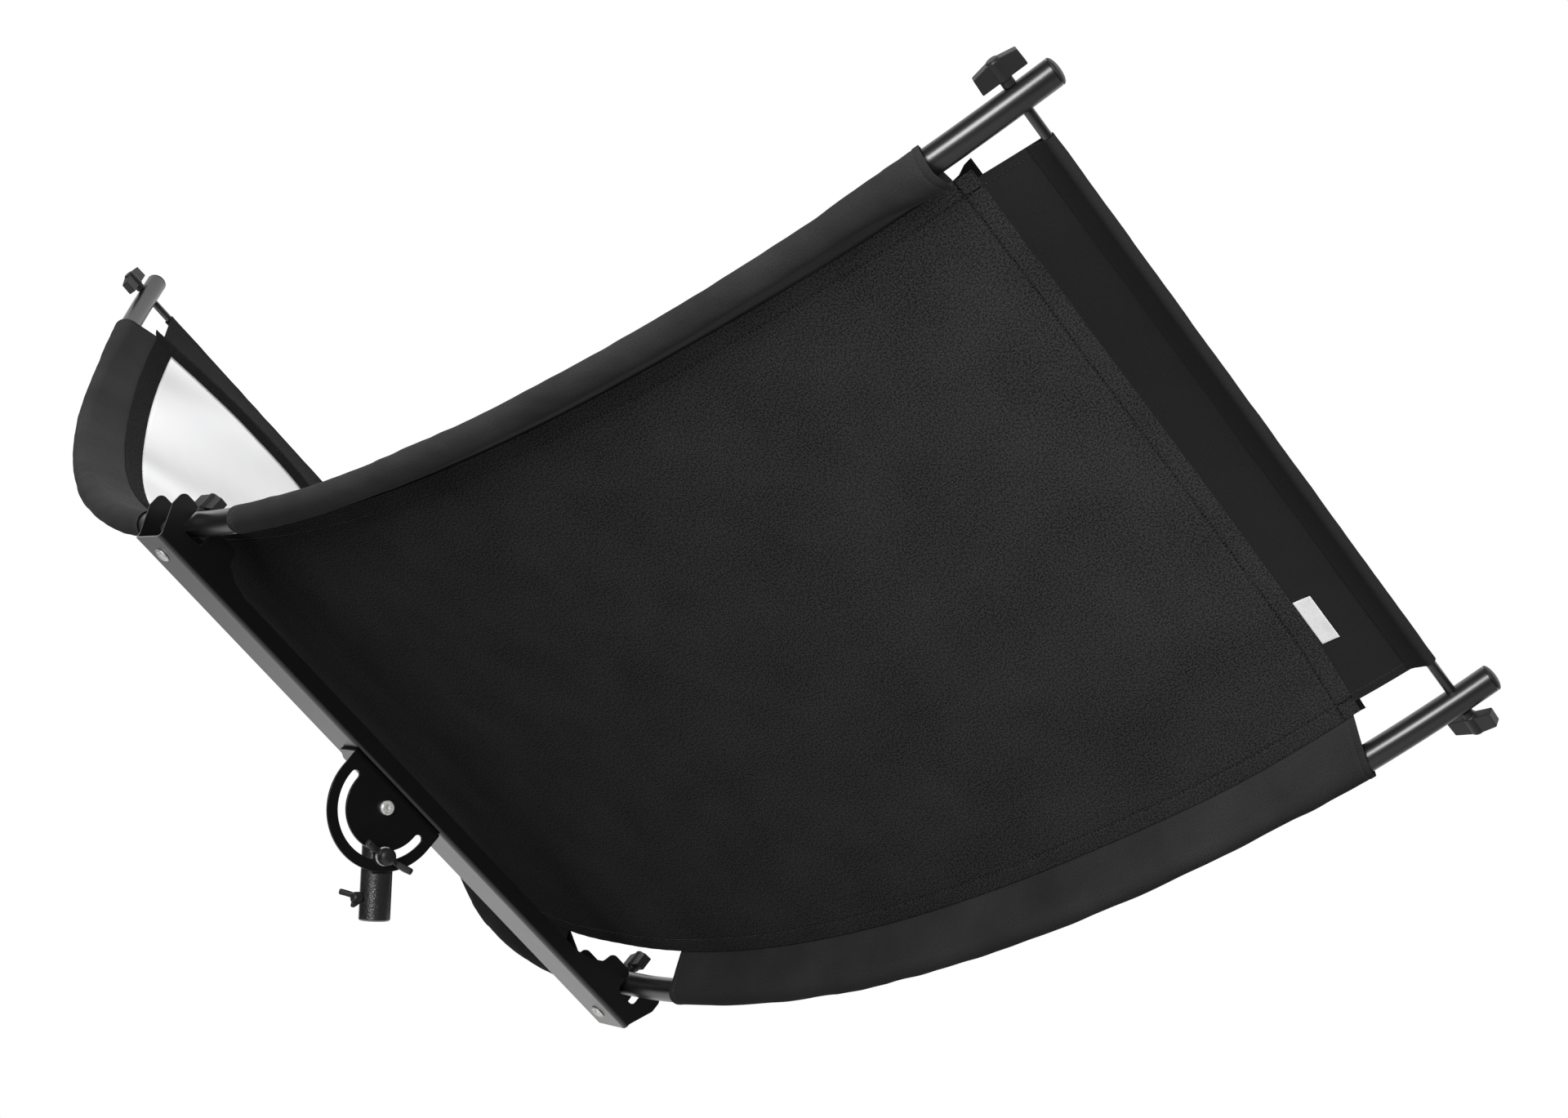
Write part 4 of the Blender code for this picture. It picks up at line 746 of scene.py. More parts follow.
def tube_coat():
    finish = Finish("satin_black_tube", (0.008, 0.008, 0.0083), 0.32)
    even = finish.coordinates()
    finish.rough(finish.noise(even, 25.0, 2.0, 0.5), 0.325, 0.335)
    finish.set("Specular IOR Level", 1.0)
    finish.set("Coat Weight", 0.30)
    finish.set("Coat Roughness", 0.30)
    finish.shade(finish.noise(even, 30.0, 3.0), 0.85, 1.2)
    return finish.material


def knob_plastic():
    finish = Finish("satin_black_plastic", (0.013, 0.013, 0.0135), 0.40)
    where = finish.coordinates()
    finish.bump(finish.noise(where, 1500.0, 3.0), 0.05 * MM, 0.5)
    finish.rough(finish.noise(where, 200.0, 4.0), 0.36, 0.50)
    finish.shade(finish.noise(where, 80.0), 0.85, 1.2)
    return finish.material


def zinc_plate():
    finish = Finish("bright_zinc_plate", (0.80, 0.80, 0.78), 0.45, 0.5)
    where = finish.coordinates()
    finish.bump(finish.noise(finish.coordinates((300.0, 300.0, 2500.0)), 1.0, 3.0), 0.02 * MM, 0.5)
    finish.rough(finish.noise(where, 350.0, 4.0), 0.36, 0.56)
    finish.shade(finish.ranged(finish.noise(where, 420.0, 4.0), 0.0, 1.0, 0.3, 0.7), 0.50, 1.20)
    return finish.material


def clip_steel():
    finish = Finish("plain_spring_steel", (0.50, 0.50, 0.50), 0.28, 1.0)
    where = finish.coordinates()
    finish.rough(finish.noise(where, 500.0, 4.0), 0.2, 0.4)
    finish.shade(finish.noise(where, 300.0, 4.0), 0.8, 1.1)
    return finish.material


def weave_height(finish, cloth, threads):
    """Over and under threads: two crossed waves, each stronger where the other is low."""
    warp = finish.wave(cloth, threads, "X")
    weft = finish.wave(cloth, threads, "Y")
    return finish.math(warp, weft, "MAXIMUM")


def sleeve_cloth():
    finish = Finish("black_woven_cloth", (0.027, 0.027, 0.0275), 0.85)
    finish.set("Sheen Weight", 0.03)
    finish.set("Sheen Roughness", 0.35)
    finish.set("Specular IOR Level", 0.04)
    cloth = finish.coordinates(cloth=True)
    finish.bump(finish.noise(cloth, 45.0, 3.0, 0.55), 1.0 * MM, 0.35)
    finish.bump(weave_height(finish, cloth, 260.0), 0.10 * MM, 0.6)
    finish.rough(finish.noise(cloth, 300.0, 3.0), 0.75, 0.95)
    speck = finish.math(finish.noise(cloth, 900.0, 2.0), finish.noise(cloth, 12.0, 3.0), "MULTIPLY")
    finish.shade(finish.ranged(speck, 0.0, 1.0, 0.12, 0.40), 0.70, 1.30)
    return finish.material


def flap_cloth():
    finish = Finish("black_flap_cloth", (0.019, 0.019, 0.0195), 0.80)
    finish.set("Specular IOR Level", 0.04)
    cloth = finish.coordinates(cloth=True)
    finish.bump(finish.noise(cloth, 25.0, 3.0, 0.5), 1.0 * MM, 0.25)
    finish.bump(weave_height(finish, cloth, 300.0), 0.08 * MM, 0.5)
    finish.rough(finish.noise(cloth, 200.0, 3.0), 0.70, 0.90)
    finish.shade(finish.noise(cloth, 500.0, 3.0), 0.80, 1.20)
    return finish.material


def knit_cloth():
    finish = Finish("speckled_charcoal_knit", (0.025, 0.025, 0.0255), 0.92)
    finish.set("Sheen Weight", 0.015)
    finish.set("Sheen Roughness", 0.3)
    finish.set("Specular IOR Level", 0.0)
    cloth = finish.coordinates(cloth=True)
    loops = finish.wave(finish.coordinates((1.0, 0.55, 1.0), cloth=True), 330.0, "DIAGONAL", 1.5)
    speckle = finish.noise(cloth, 1100.0, 2.0, 0.7)
    grains = finish.noise(cloth, 700.0, 1.0, 0.6)
    finish.bump(loops, 0.10 * MM, 0.5)
    finish.bump(speckle, 0.08 * MM, 0.5)
    both = finish.math(finish.ranged(speckle, 0.0, 0.30, 0.35, 0.65),
                       finish.ranged(grains, 0.0, 0.60, 0.36, 0.64))
    clouds = finish.ranged(finish.noise(cloth, 14.0, 4.0, 0.6), 0.0, 0.15, 0.3, 0.7)
    mottled = finish.math(both, clouds)
    # Painted shade: the knit's colour darkens in a thin line along each sewn seam, in place of the
    # shade in the seam's groove
    apart = finish.join(cloth, finish.node("ShaderNodeSeparateXYZ").inputs["Vector"])
    seam_groove_shade = []
    for axis, edge in (("X", PANEL_HALF_LENGTH), ("Y", PANEL_HALF_WIDTH)):
        reach = finish.math(apart.outputs[axis], 0.0, "ABSOLUTE")
        out = finish.math(reach, edge - STITCH_FROM_EDGE, "SUBTRACT")
        from_seam = finish.math(out, 0.0, "ABSOLUTE")
        seam_groove_shade.append(finish.ranged(from_seam, 0.35, 0.0, 0.3 * MM, 1.2 * MM))
    finish.shade(finish.math(mottled, finish.math(*seam_groove_shade, "MAXIMUM"), "SUBTRACT"), 0.05, 1.86)
    return finish.material


def silver_coat():
    finish = Finish("soft_silver_cloth", (0.90, 0.90, 0.91), 0.34, 0.85)
    cloth = finish.coordinates(cloth=True)
    streaks = finish.coordinates((3.0, 160.0, 1.0), cloth=True)
    finish.bump(finish.noise(cloth, 9.0, 3.0, 0.55), 6.0 * MM, 0.35)
    finish.bump(finish.noise(streaks, 1.0, 3.0), 0.25 * MM, 0.4)
    finish.bump(weave_height(finish, cloth, 320.0), 0.05 * MM, 0.35)
    finish.rough(finish.noise(cloth, 40.0, 3.0), 0.28, 0.42)
    # Painted reflection: broad slanted bands of lighter and darker colour stand for the room's soft
    # reflections in the silver
    painted_reflection_place = finish.coordinates((1.5, 7.0, 1.0), cloth=True, turn=radians(126.0))
    clouds = finish.noise(painted_reflection_place, 1.0, 1.0, 0.4, 0.3)
    finish.shade(finish.ranged(clouds, 0.0, 1.0, 0.34, 0.58), 0.74, 1.16)
    return finish.material


def loop_pile():
    finish = Finish("black_loop_pile", (0.006, 0.006, 0.0065), 0.97)
    finish.set("Sheen Weight", 0.02)
    finish.set("Specular IOR Level", 0.10)
    where = finish.coordinates()
    finish.bump(finish.noise(where, 700.0, 3.0, 0.7), 0.8 * MM, 0.9)
    lint = finish.cells(where, 95.0)
    lint_ends = finish.ranged(lint, 1.0, 0.0, 0.02, 0.05)
    ramp = finish.shade(finish.noise(where, 600.0, 2.0), 0.6, 1.6)
    mix = finish.node("ShaderNodeMix", data_type="RGBA")
    mix.inputs["B"].default_value = (0.15, 0.15, 0.15, 1.0)
    finish.join(lint_ends, mix.inputs["Factor"])
    finish.join(ramp.outputs["Result"], mix.inputs["A"])
    finish.join(mix.outputs["Result"], finish.shader.inputs["Base Color"])
    return finish.material


def ribbon():
    finish = Finish("white_satin_ribbon", (0.80, 0.80, 0.80), 0.50)
    finish.set("Sheen Weight", 0.2)
    cloth = finish.coordinates(cloth=True)
    finish.bump(finish.wave(cloth, 500.0, "Y"), 0.06 * MM, 0.5)
    finish.bump(finish.noise(cloth, 120.0, 3.0), 0.4 * MM, 0.4)
    finish.shade(finish.noise(cloth, 250.0, 3.0), 0.90, 1.05)
    return finish.material


def sewing_thread():
    finish = Finish("black_sewing_thread", (0.012, 0.012, 0.013), 0.60)
    finish.set("Sheen Weight", 0.2)
    where = finish.coordinates()
    finish.bump(finish.wave(where, 900.0, "DIAGONAL"), 0.05 * MM, 0.6)
    finish.shade(finish.noise(where, 900.0), 0.7, 1.3)
    return finish.material


CAST = cast_paint()
PAINT = channel_paint()
TUBE = tube_coat()
PLASTIC = knob_plastic()
ZINC = zinc_plate()
STEEL = clip_steel()
SLEEVE = sleeve_cloth()
FLAP = flap_cloth()
KNIT = knit_cloth()
SILVER = silver_coat()
PILE = loop_pile()
RIBBON = ribbon()
THREAD = sewing_thread()


# Socket and tilt plate

def stand_socket():
    """A casting: round below, flat tongue above, rounded over the pivot."""
    top = PIVOT_HEIGHT + SOCKET_RADIUS
    body = turned([(0.0, top), (SOCKET_RADIUS, top), (SOCKET_RADIUS, 1.2 * MM),
                   (SOCKET_RADIUS - 1.2 * MM, 0.0), (SOCKET_BORE_RADIUS, 0.0),
                   (SOCKET_BORE_RADIUS, SOCKET_BORE_DEPTH), (0.0, SOCKET_BORE_DEPTH)],
                  sides=64, radius=0.5 * MM)
    out, over, hole = 30.0 * MM, 140.0 * MM, BOLT_RADIUS + GAP
    round_top = arc(SOCKET_RADIUS, pi, 0.0, 40, (0.0, PIVOT_HEIGHT))
    cuts = [block((TONGUE_FRONT, -out, SOCKET_FULL_HEIGHT), (out, out, over)),
            block((-out, -out, TONGUE_BACK_FOOT), (-TONGUE_BACK, out, over)),
            plate([[(-out, PIVOT_HEIGHT), *round_top, (out, PIVOT_HEIGHT), (out, over),
                    (-out, over)]], 100.0 * MM, UPRIGHT_PLATE, edge=0.01 * MM),
            bar(hole, (-out, 0, PIVOT_HEIGHT), (out, 0, PIVOT_HEIGHT)),
            bar(hole, (0, 0, LOCK_SCREW_HEIGHT), (out, 0, LOCK_SCREW_HEIGHT)),
            bar(hole, (0, -out, CLAMP_SCREW_HEIGHT), (0, 0, CLAMP_SCREW_HEIGHT))]
    mesh = softened(combined(body, cuts, "DIFFERENCE"), 0.7 * MM)
    keep("stand_socket_casting", mesh, CAST, "cast_black", "stand", "stand_socket", flat=True)


def block(low, high):
    work = bmesh.new()
    bmesh.ops.create_cube(work, size=1.0)
    mesh = bpy.data.meshes.new("work")
    work.to_mesh(mesh)
    work.free()
    low, high = Vector(low), Vector(high)
    mesh.transform(Matrix.Translation((low + high) / 2) @ Matrix.Diagonal((*(high - low), 1.0)))
    return mesh


def bar(radius, start, end, sides=32):
    start, end = Vector(start), Vector(end)
    length = (end - start).length
    return turned([(0.0, 0.0), (radius, 0.0), (radius, length), (0.0, length)],
                  facing(end - start, start), sides, 0.01 * MM)


def hex_nut(across, start, end, bore):
    """A hexagon nut with turned corners on both faces."""
    start, end = Vector(start), Vector(end)
    height = (end - start).length
    corner, face = across / 2 / cos(pi / 6), across / 2 * 0.98
    outline = [(corner * cos(i * pi / 3), corner * sin(i * pi / 3)) for i in range(6)]
    prism = plate([outline], height, Matrix.Translation((0, 0, height / 2)), 0.1 * MM)
    wide = corner + 0.2 * MM
    drum = turned([(0.0, 0.0), (face, 0.0), (wide, 0.6 * MM), (wide, height - 0.6 * MM),
                   (face, height), (0.0, height)], sides=48, radius=0.01 * MM)
    nut = combined(combined(prism, [drum], "INTERSECT"),
                   [bar(bore, (0, 0, -height), (0, 0, 2 * height))], "DIFFERENCE")
    nut.transform(facing(end - start, start))
    return nut


def wing_screw(span, reach, hub_radius, hub_height, wing_height, wing_thickness, shank):
    """A moulded screw with two swept wings about local Z, its hub's foot at the origin."""
    half, low = span / 2, 0.3 * wing_height
    right = [(hub_radius - 1.0 * MM, 1.0 * MM, 0.0),
             (half - 5.0 * MM, reach - 0.9 * wing_height, 3.0 * MM), (half, reach - low, 2.0 * MM),
             (half - 3.0 * MM, reach, 2.0 * MM), (hub_radius + 3.0 * MM, reach - 2 * low, 3.0 * MM),
             (hub_radius - 1.0 * MM, hub_height - low, 0.0)]
    side = rounded(right + [(-x, z, radius) for x, z, radius in reversed(right)])
    wings = plate([side], wing_thickness, SIDEWAYS_PLATE, 1.2 * MM)
    hub = turned([(0.0, hub_height), (0.6 * hub_radius, hub_height - 0.4 * MM),
                  (hub_radius, hub_height - 2.6 * MM), (hub_radius, 0.0), (0.0, 0.0)],
                 radius=1.2 * MM)
    grip = moulded([wings, hub], 0.28 * MM, 3)
    stem = turned([(0.0, 0.5 * hub_height), (BOLT_RADIUS, 0.5 * hub_height),
                   (BOLT_RADIUS, -shank + 0.8 * MM), (BOLT_RADIUS - 0.8 * MM, -shank),
                   (0.0, -shank)], sides=24)
    return joined([grip, stem])


def socket_fasteners():
    front = TONGUE_FRONT + GAP + PLATE_THICKNESS + GAP
    bolt_end = -TONGUE_BACK - GAP - 7.5 * MM
    bolt = turned([(0.0, 3.4 * MM), (1.2 * MM, 3.4 * MM), (1.6 * MM, 4.0 * MM),
                   (5.2 * MM, 4.0 * MM), (6.5 * MM, 2.8 * MM), (6.5 * MM, 0.0), (BOLT_RADIUS, 0.0),
                   (BOLT_RADIUS, bolt_end - front), (0.0, bolt_end - front)],
                  facing(FRONTWARD, (front, 0, PIVOT_HEIGHT)))
    keep("pivot_bolt_turned", bolt, ZINC, "zinc", "stand", "pivot_bolt")
    nut = hex_nut(10.0 * MM, (-TONGUE_BACK - GAP - 6.0 * MM, 0, PIVOT_HEIGHT),
                  (-TONGUE_BACK - GAP, 0, PIVOT_HEIGHT), BOLT_RADIUS + GAP)
    keep("pivot_nut_hexagon", nut, ZINC, "zinc", "stand", "pivot_nut")
    washer = turned([(BOLT_RADIUS + GAP, 0.0), (8.5 * MM, 0.0), (8.5 * MM, 1.2 * MM),
                     (BOLT_RADIUS + GAP, 1.2 * MM)],
                    facing(FRONTWARD, (front, 0, LOCK_SCREW_HEIGHT)), sides=64, radius=0.3 * MM,
                    closed=True)
    keep("lock_washer_turned", washer, ZINC, "zinc", "stand", "lock_washer")
    foot = front + 1.5 * MM
    lock = wing_screw(span=54.0 * MM, reach=12.5 * MM, hub_radius=7.6 * MM, hub_height=10.5 * MM,
                      wing_height=12.5 * MM, wing_thickness=5.6 * MM, shank=foot - 1.0 * MM)
    lock.transform(facing(FRONTWARD, (foot, 0, LOCK_SCREW_HEIGHT))
                   @ Matrix.Rotation(LOCK_WING_TURN, 4, "Z"))
    keep("tilt_lock_wings", lock, PLASTIC, "black_plastic", "tilt_lock_screw", "tilt_lock_screw")
    clamp = wing_screw(span=32.0 * MM, reach=16.0 * MM, hub_radius=5.5 * MM, hub_height=9.0 * MM,
                       wing_height=10.0 * MM, wing_thickness=5.0 * MM,
                       shank=SOCKET_RADIUS - SOCKET_BORE_RADIUS)
    clamp.transform(facing((0, -1, 0), (0, -SOCKET_RADIUS - GAP, CLAMP_SCREW_HEIGHT))
                    @ Matrix.Rotation(CLAMP_WING_TURN, 4, "Z"))
    keep("socket_thumbscrew_wings", clamp, PLASTIC, "black_plastic", "socket_thumbscrew",
         "socket_thumbscrew")


def tilt_plate():
    """Half disc with an arc slot, bent over into the foot that lies on the web."""
    foot_top = -GAP
    centre = (PIVOT_ALONG_CHANNEL, -PIVOT_BELOW_WEB)
    front, rear = centre[0] + PLATE_RADIUS, centre[0] - PLATE_RADIUS
    bend = foot_top - PLATE_BEND
    rim = [(front, bend)] + arc(PLATE_RADIUS, 0.0, -pi, 72, centre) + [(rear, bend)]
    down, half = -pi / 2, SLOT_WIDTH / 2
    first, last = down - SLOT_HALF_ANGLE, down + SLOT_HALF_ANGLE
    first_end, last_end = arc(SLOT_RADIUS, first, last, 1, centre)
    slot = (arc(SLOT_RADIUS + half, first, last, 72, centre)
            + arc(half, last, last + pi, 12, last_end)[1:-1]
            + arc(SLOT_RADIUS - half, last, first, 72, centre)
            + arc(half, first + pi, first + 2 * pi, 12, first_end)[1:-1])
    hole = arc(BOLT_RADIUS + GAP, 0.0, 2 * pi, 32, centre)[:-1]
    plate_front = CHANNEL_WIDTH / 2
    disc = plate([rim, slot, hole], PLATE_THICKNESS,
                 Matrix.Translation((plate_front - PLATE_THICKNESS / 2, 0, 0)) @ UPRIGHT_PLATE)
    back = plate_front - FOOT_WIDTH
    foot_outline = [(plate_front - PLATE_BEND, rear), (plate_front - PLATE_BEND, front),
                    (back + FOOT_CHAMFER, front), (back, front - FOOT_CHAMFER),
                    (back, rear + FOOT_CHAMFER), (back + FOOT_CHAMFER, rear)]
    foot = plate([foot_outline], FOOT_THICKNESS,
                 Matrix.Translation((0, 0, foot_top - FOOT_THICKNESS / 2)))
    corner = (plate_front - PLATE_BEND, foot_top - PLATE_BEND)
    inner = PLATE_BEND - PLATE_THICKNESS
    section = (arc(PLATE_BEND, 0.0, pi / 2, 10, corner) + arc(inner, pi / 2, 0.0, 10, corner))
    fold = plate([section], front - rear, Matrix.Translation((0, (front + rear) / 2, 0))
                 @ SIDEWAYS_PLATE, 0.2 * MM)
    mesh = joined([disc, foot, fold])
    mesh.transform(HEAD)
    keep("tilt_plate_folded", mesh, PAINT, "black_paint", "head", "tilt_plate", flat=True)


def foot_fasteners():
    for label, sign in ENDS.items():
        y = PIVOT_ALONG_CHANNEL + sign * FOOT_SCREW_SPACING / 2
        low = -2 * GAP - FOOT_THICKNESS
        top = SHEET + GAP + 5.0 * MM
        screw = turned([(0.0, top), (2.0 * MM, top), (2.5 * MM, top - 0.5 * MM), (2.5 * MM, low),
                        (4.75 * MM, low), (3.9 * MM, low - 1.8 * MM), (2.0 * MM, low - 2.0 * MM),
                        (1.8 * MM, low - 0.9 * MM), (0.0, low - 0.9 * MM)],
                       HEAD @ Matrix.Translation((0, y, 0)), sides=32, radius=0.3 * MM)
        keep("foot_screw_turned_" + label, screw, ZINC, "zinc", "head", "foot_screw_" + label)
        nut = hex_nut(8.0 * MM, (0, y, SHEET + GAP), (0, y, SHEET + GAP + 4.0 * MM),
                      FOOT_HOLE_RADIUS)
        nut.transform(HEAD)
        keep("foot_nut_hexagon_" + label, nut, ZINC, "zinc", "head", "foot_nut_" + label)


# Channel

def channel_side():
    """Side view of the channel: low in the middle, and at each end a bump, a notch and a lobe."""
    clear = TUBE_RADIUS + 0.8 * MM
    bottom = TUBE_ABOVE_WEB - TUBE_RADIUS - 5.0 * MM
    end = CHANNEL_LENGTH / 2
    inner = TUBE_Y - INNER_EAR_REACH
    half = [
        (end, -SHEET, 0.0), (end, 0.3 * FLANGE_HEIGHT, 3.0 * MM),
        (end + EAR_OVERHANG, EAR_BOTTOM, 3.0 * MM),
        (end + EAR_OVERHANG, EAR_TOP, EAR_ROUND), (TUBE_Y + clear, EAR_TOP, EAR_ROUND),
        (TUBE_Y + clear, bottom, 0.45 * clear), (TUBE_Y - clear, bottom, 0.45 * clear),
        (TUBE_Y - clear, INNER_EAR_TOP, EAR_ROUND), (inner, INNER_EAR_TOP, EAR_ROUND),
        (inner - 3.0 * MM, INNER_EAR_TOP - 12.0 * MM, 6.0 * MM),
        (inner - INNER_EAR_SLOPE, FLANGE_HEIGHT + 4.0 * MM, 5.0 * MM),
        (inner - 2 * INNER_EAR_SLOPE, FLANGE_HEIGHT, 0.0)]
    return rounded(half + [(-y, z, radius) for y, z, radius in reversed(half)])


def centre_channel():
    half, inside = CHANNEL_WIDTH / 2, CHANNEL_WIDTH / 2 - SHEET
    bend, inner_bend, top = BEND_RADIUS, BEND_RADIUS - SHEET, EAR_TOP + SHEET
    section = rounded([
        (-half, 0.0, bend), (half, 0.0, bend), (half, top, 0.0), (inside, top, 0.0),
        (inside, SHEET, inner_bend), (-inside, SHEET, inner_bend), (-inside, top, 0.0),
        (-half, top, 0.0)])
    blank = plate([section], CHANNEL_LENGTH + 4 * EAR_OVERHANG, SIDEWAYS_PLATE, 0.01 * MM)
    side = plate([channel_side()], 2 * CHANNEL_WIDTH, UPRIGHT_PLATE, 0.01 * MM)
    channel = combined(blank, [side], "INTERSECT")
    holes = []
    for end in ENDS.values():
        for radius, y in ((BOLT_RADIUS + GAP, end * TUBE_Y),
                          (FOOT_HOLE_RADIUS, PIVOT_ALONG_CHANNEL + end * FOOT_SCREW_SPACING / 2)):
            holes.append(bar(radius, (0, y, -SHEET), (0, y, 2 * SHEET)))
    channel = softened(combined(channel, holes, "DIFFERENCE"), 0.4 * MM)
    channel.transform(HEAD)
    keep("centre_channel_folded", channel, PAINT, "black_paint", "head", "centre_channel",
         flat=True)


# Knobs

def tee_knob(shank_radius, shank_length):
    """A two winged moulded knob about local Z, its neck's foot at the origin."""
    half, low, high = KNOB_LENGTH / 2, KNOB_NECK_HEIGHT, KNOB_NECK_HEIGHT + KNOB_HEIGHT
    side = rounded([(-half, low, 1.0 * MM), (half, low, 1.0 * MM),
                    (half - 0.6 * MM, high - KNOB_PEAK, 1.2 * MM), (0.0, high, 30.0 * MM),
                    (-half + 0.6 * MM, high - KNOB_PEAK, 1.2 * MM)], 9)
    wings = plate([side], KNOB_WING_THICKNESS, SIDEWAYS_PLATE, 0.5 * MM)
    hub = turned([(0.0, high + 0.4 * MM), (KNOB_HUB_RADIUS - 1.5 * MM, high + 0.2 * MM),
                  (KNOB_HUB_RADIUS, high - 1.5 * MM), (KNOB_HUB_RADIUS, low),
                  (KNOB_NECK_RADIUS, low - 1.0 * MM), (KNOB_NECK_RADIUS, 0.0), (0.0, 0.0)],
                 radius=0.8 * MM)
    grip = combined(wings, [hub], "UNION")
    if shank_length <= 0.0:
        return grip
    shank = turned([(0.0, low), (shank_radius, low), (shank_radius, -shank_length + 0.6 * MM),
                    (shank_radius - 0.6 * MM, -shank_length), (0.0, -shank_length)], sides=24)
    return joined([grip, shank])


def hinge(name):
    """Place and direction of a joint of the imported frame."""
    joint = next(item for item in frame["joints"] if item["name"] == name)
    return Vector(joint["pos_m"]), Vector(joint["axis"])


def rod_axis(side):
    """Middle of a cross rod, found from the hinges of the two knobs at its ends."""
    upper = hinge("tip_knob_upper_%s_turn" % side)[0]
    lower = hinge("tip_knob_lower_%s_turn" % side)[0]
    middle = (upper + lower) / 2
    across = HEAD.to_3x3() @ Vector((0.0, 1.0, 0.0))
    origin = HEAD @ Vector((0.0, 0.0, 0.0))
    return middle - across * (middle - origin).dot(across), across


def along_line(distance, turn=0.0):
    slope = float(bent_line(distance)[2]) + turn
    return HEAD.to_3x3() @ Vector((cos(slope), 0.0, sin(slope)))


def knobs_and_rods():
    knob = tee_knob(ROD_SCREW_RADIUS, 20.0 * MM)
    saddle_knob = tee_knob(0.0, 0.0)
    for side_label, side in SIDES.items():
        middle, across = rod_axis(side_label)
        rod = turned([(ROD_SCREW_RADIUS, -ROD_HALF_LENGTH), (ROD_RADIUS, -ROD_HALF_LENGTH),
                      (ROD_RADIUS, ROD_HALF_LENGTH), (ROD_SCREW_RADIUS, ROD_HALF_LENGTH)],
                     facing(across, middle), sides=40, closed=True)
        keep("cross_rod_turned_" + side_label, rod, TUBE, "black_tube", "head",
             "cross_rod_" + side_label)
        for end_label, end in ENDS.items():
            foot = middle + across * end * (TUBE_Y + TUBE_RADIUS + GAP)
            mesh = knob.copy()
            tag = end_label + "_" + side_label
            turn = LOWER_RIGHT_KNOB_TURN if tag == "lower_right" else 0.0
            mesh.transform(framed(foot, across * end, along_line(side * ROD_FROM_MIDDLE, turn)))
            keep("tip_knob_moulded_" + tag, mesh, PLASTIC, "black_plastic", "tip_knob_" + tag,
                 "tip_knob_" + tag, flat=True)
    for end_label, end in ENDS.items():
        wing = Vector((cos(SADDLE_KNOB_TURNS[end_label]), sin(SADDLE_KNOB_TURNS[end_label]), 0))
        top = Vector((0.0, end * TUBE_Y, TUBE_ABOVE_WEB + TUBE_RADIUS + GAP))
        mesh = saddle_knob.copy()
        mesh.transform(HEAD @ framed(top, (0, 0, 1), wing))
        keep("saddle_knob_moulded_" + end_label, mesh, PLASTIC, "black_plastic",
             "saddle_knob_" + end_label, "saddle_knob_" + end_label, flat=True)
        saddle_bolt(end_label, end, top.z + 10.7 * MM)


def saddle_bolt(label, end, top):
    """A dome headed bolt through web, spacer and tube, and the spacer under the tube."""
    place = HEAD @ Matrix.Translation((0, end * TUBE_Y, 0))
    dome = [(7.25 * MM * cos(swing), -GAP - 3.2 * MM * sin(swing))
            for swing in np.linspace(0.0, pi / 2, 12)]
    bolt = turned([(0.0, top), (BOLT_RADIUS, top), (BOLT_RADIUS, -GAP)] + dome, place,
                  radius=0.15 * MM)
    keep("saddle_bolt_domed_" + label, bolt, ZINC, "zinc", "head", "saddle_bolt_" + label)
    spacer = turned([(0.0, SHEET + GAP), (7.0 * MM, SHEET + GAP), (7.0 * MM, TUBE_ABOVE_WEB),
                     (0.0, TUBE_ABOVE_WEB)], sides=48)
    cuts = [bar(TUBE_RADIUS + GAP, (-0.03, 0, TUBE_ABOVE_WEB), (0.03, 0, TUBE_ABOVE_WEB), 64),
            bar(BOLT_RADIUS + GAP, (0, 0, -SHEET), (0, 0, TUBE_ABOVE_WEB))]
    spacer = combined(spacer, cuts, "DIFFERENCE")
    spacer.transform(place)
    keep("saddle_spacer_moulded_" + label, spacer, PLASTIC, "black_plastic", "head",
         "saddle_spacer_" + label)


# Tubes

def tubes():
    bore = TUBE_RADIUS - TUBE_WALL
    neck = bore - 0.3 * MM
    soft = 0.4 * MM
    for end_label, end in ENDS.items():
        y = end * TUBE_Y
        middle = bent_turned([
            (-CENTRE_TUBE_HALF, bore), (-CENTRE_TUBE_HALF, TUBE_RADIUS - soft),
            (-CENTRE_TUBE_HALF + soft, TUBE_RADIUS), (CENTRE_TUBE_HALF - soft, TUBE_RADIUS),
            (CENTRE_TUBE_HALF, TUBE_RADIUS - soft), (CENTRE_TUBE_HALF, bore)], y, 1, closed=True)
        keep("centre_tube_bent_" + end_label, middle, TUBE, "black_tube", "head",
             "centre_tube_" + end_label)
        for side_label, side in SIDES.items():
            tag = end_label + "_" + side_label
            joint = CENTRE_TUBE_HALF + GAP
            start = CENTRE_TUBE_HALF - NECK_LENGTH
            outer = bent_turned([
                (start, neck - TUBE_WALL), (start, neck - soft), (start + soft, neck),
                (joint, neck), (joint, TUBE_RADIUS - soft), (joint + soft, TUBE_RADIUS),
                (OUTER_TUBE_END - soft, TUBE_RADIUS), (OUTER_TUBE_END, TUBE_RADIUS - soft),
                (OUTER_TUBE_END, bore), (joint + 3.0 * MM, bore),
                (joint + 3.0 * MM, neck - TUBE_WALL)], y, side, closed=True)
            keep("outer_tube_bent_" + tag, outer, TUBE, "black_tube", "head", "outer_tube_" + tag)
            foot = OUTER_TUBE_END + GAP
            cap = bent_turned([
                *[(foot + CAP_THICKNESS * (0.12 + 0.88 * cos(swing)), TUBE_RADIUS * sin(swing))
                  for swing in np.linspace(0.0, pi / 2, 12)],
                (foot, TUBE_RADIUS), (foot, bore - 0.5 * MM),
                (foot - CAP_PLUG_LENGTH, bore - 0.5 * MM), (foot - CAP_PLUG_LENGTH, 0.0)], y, side)
            keep("end_cap_moulded_" + tag, cap, PLASTIC, "black_plastic", "head", "end_cap_" + tag)
            snap_clip(tag, side, end)


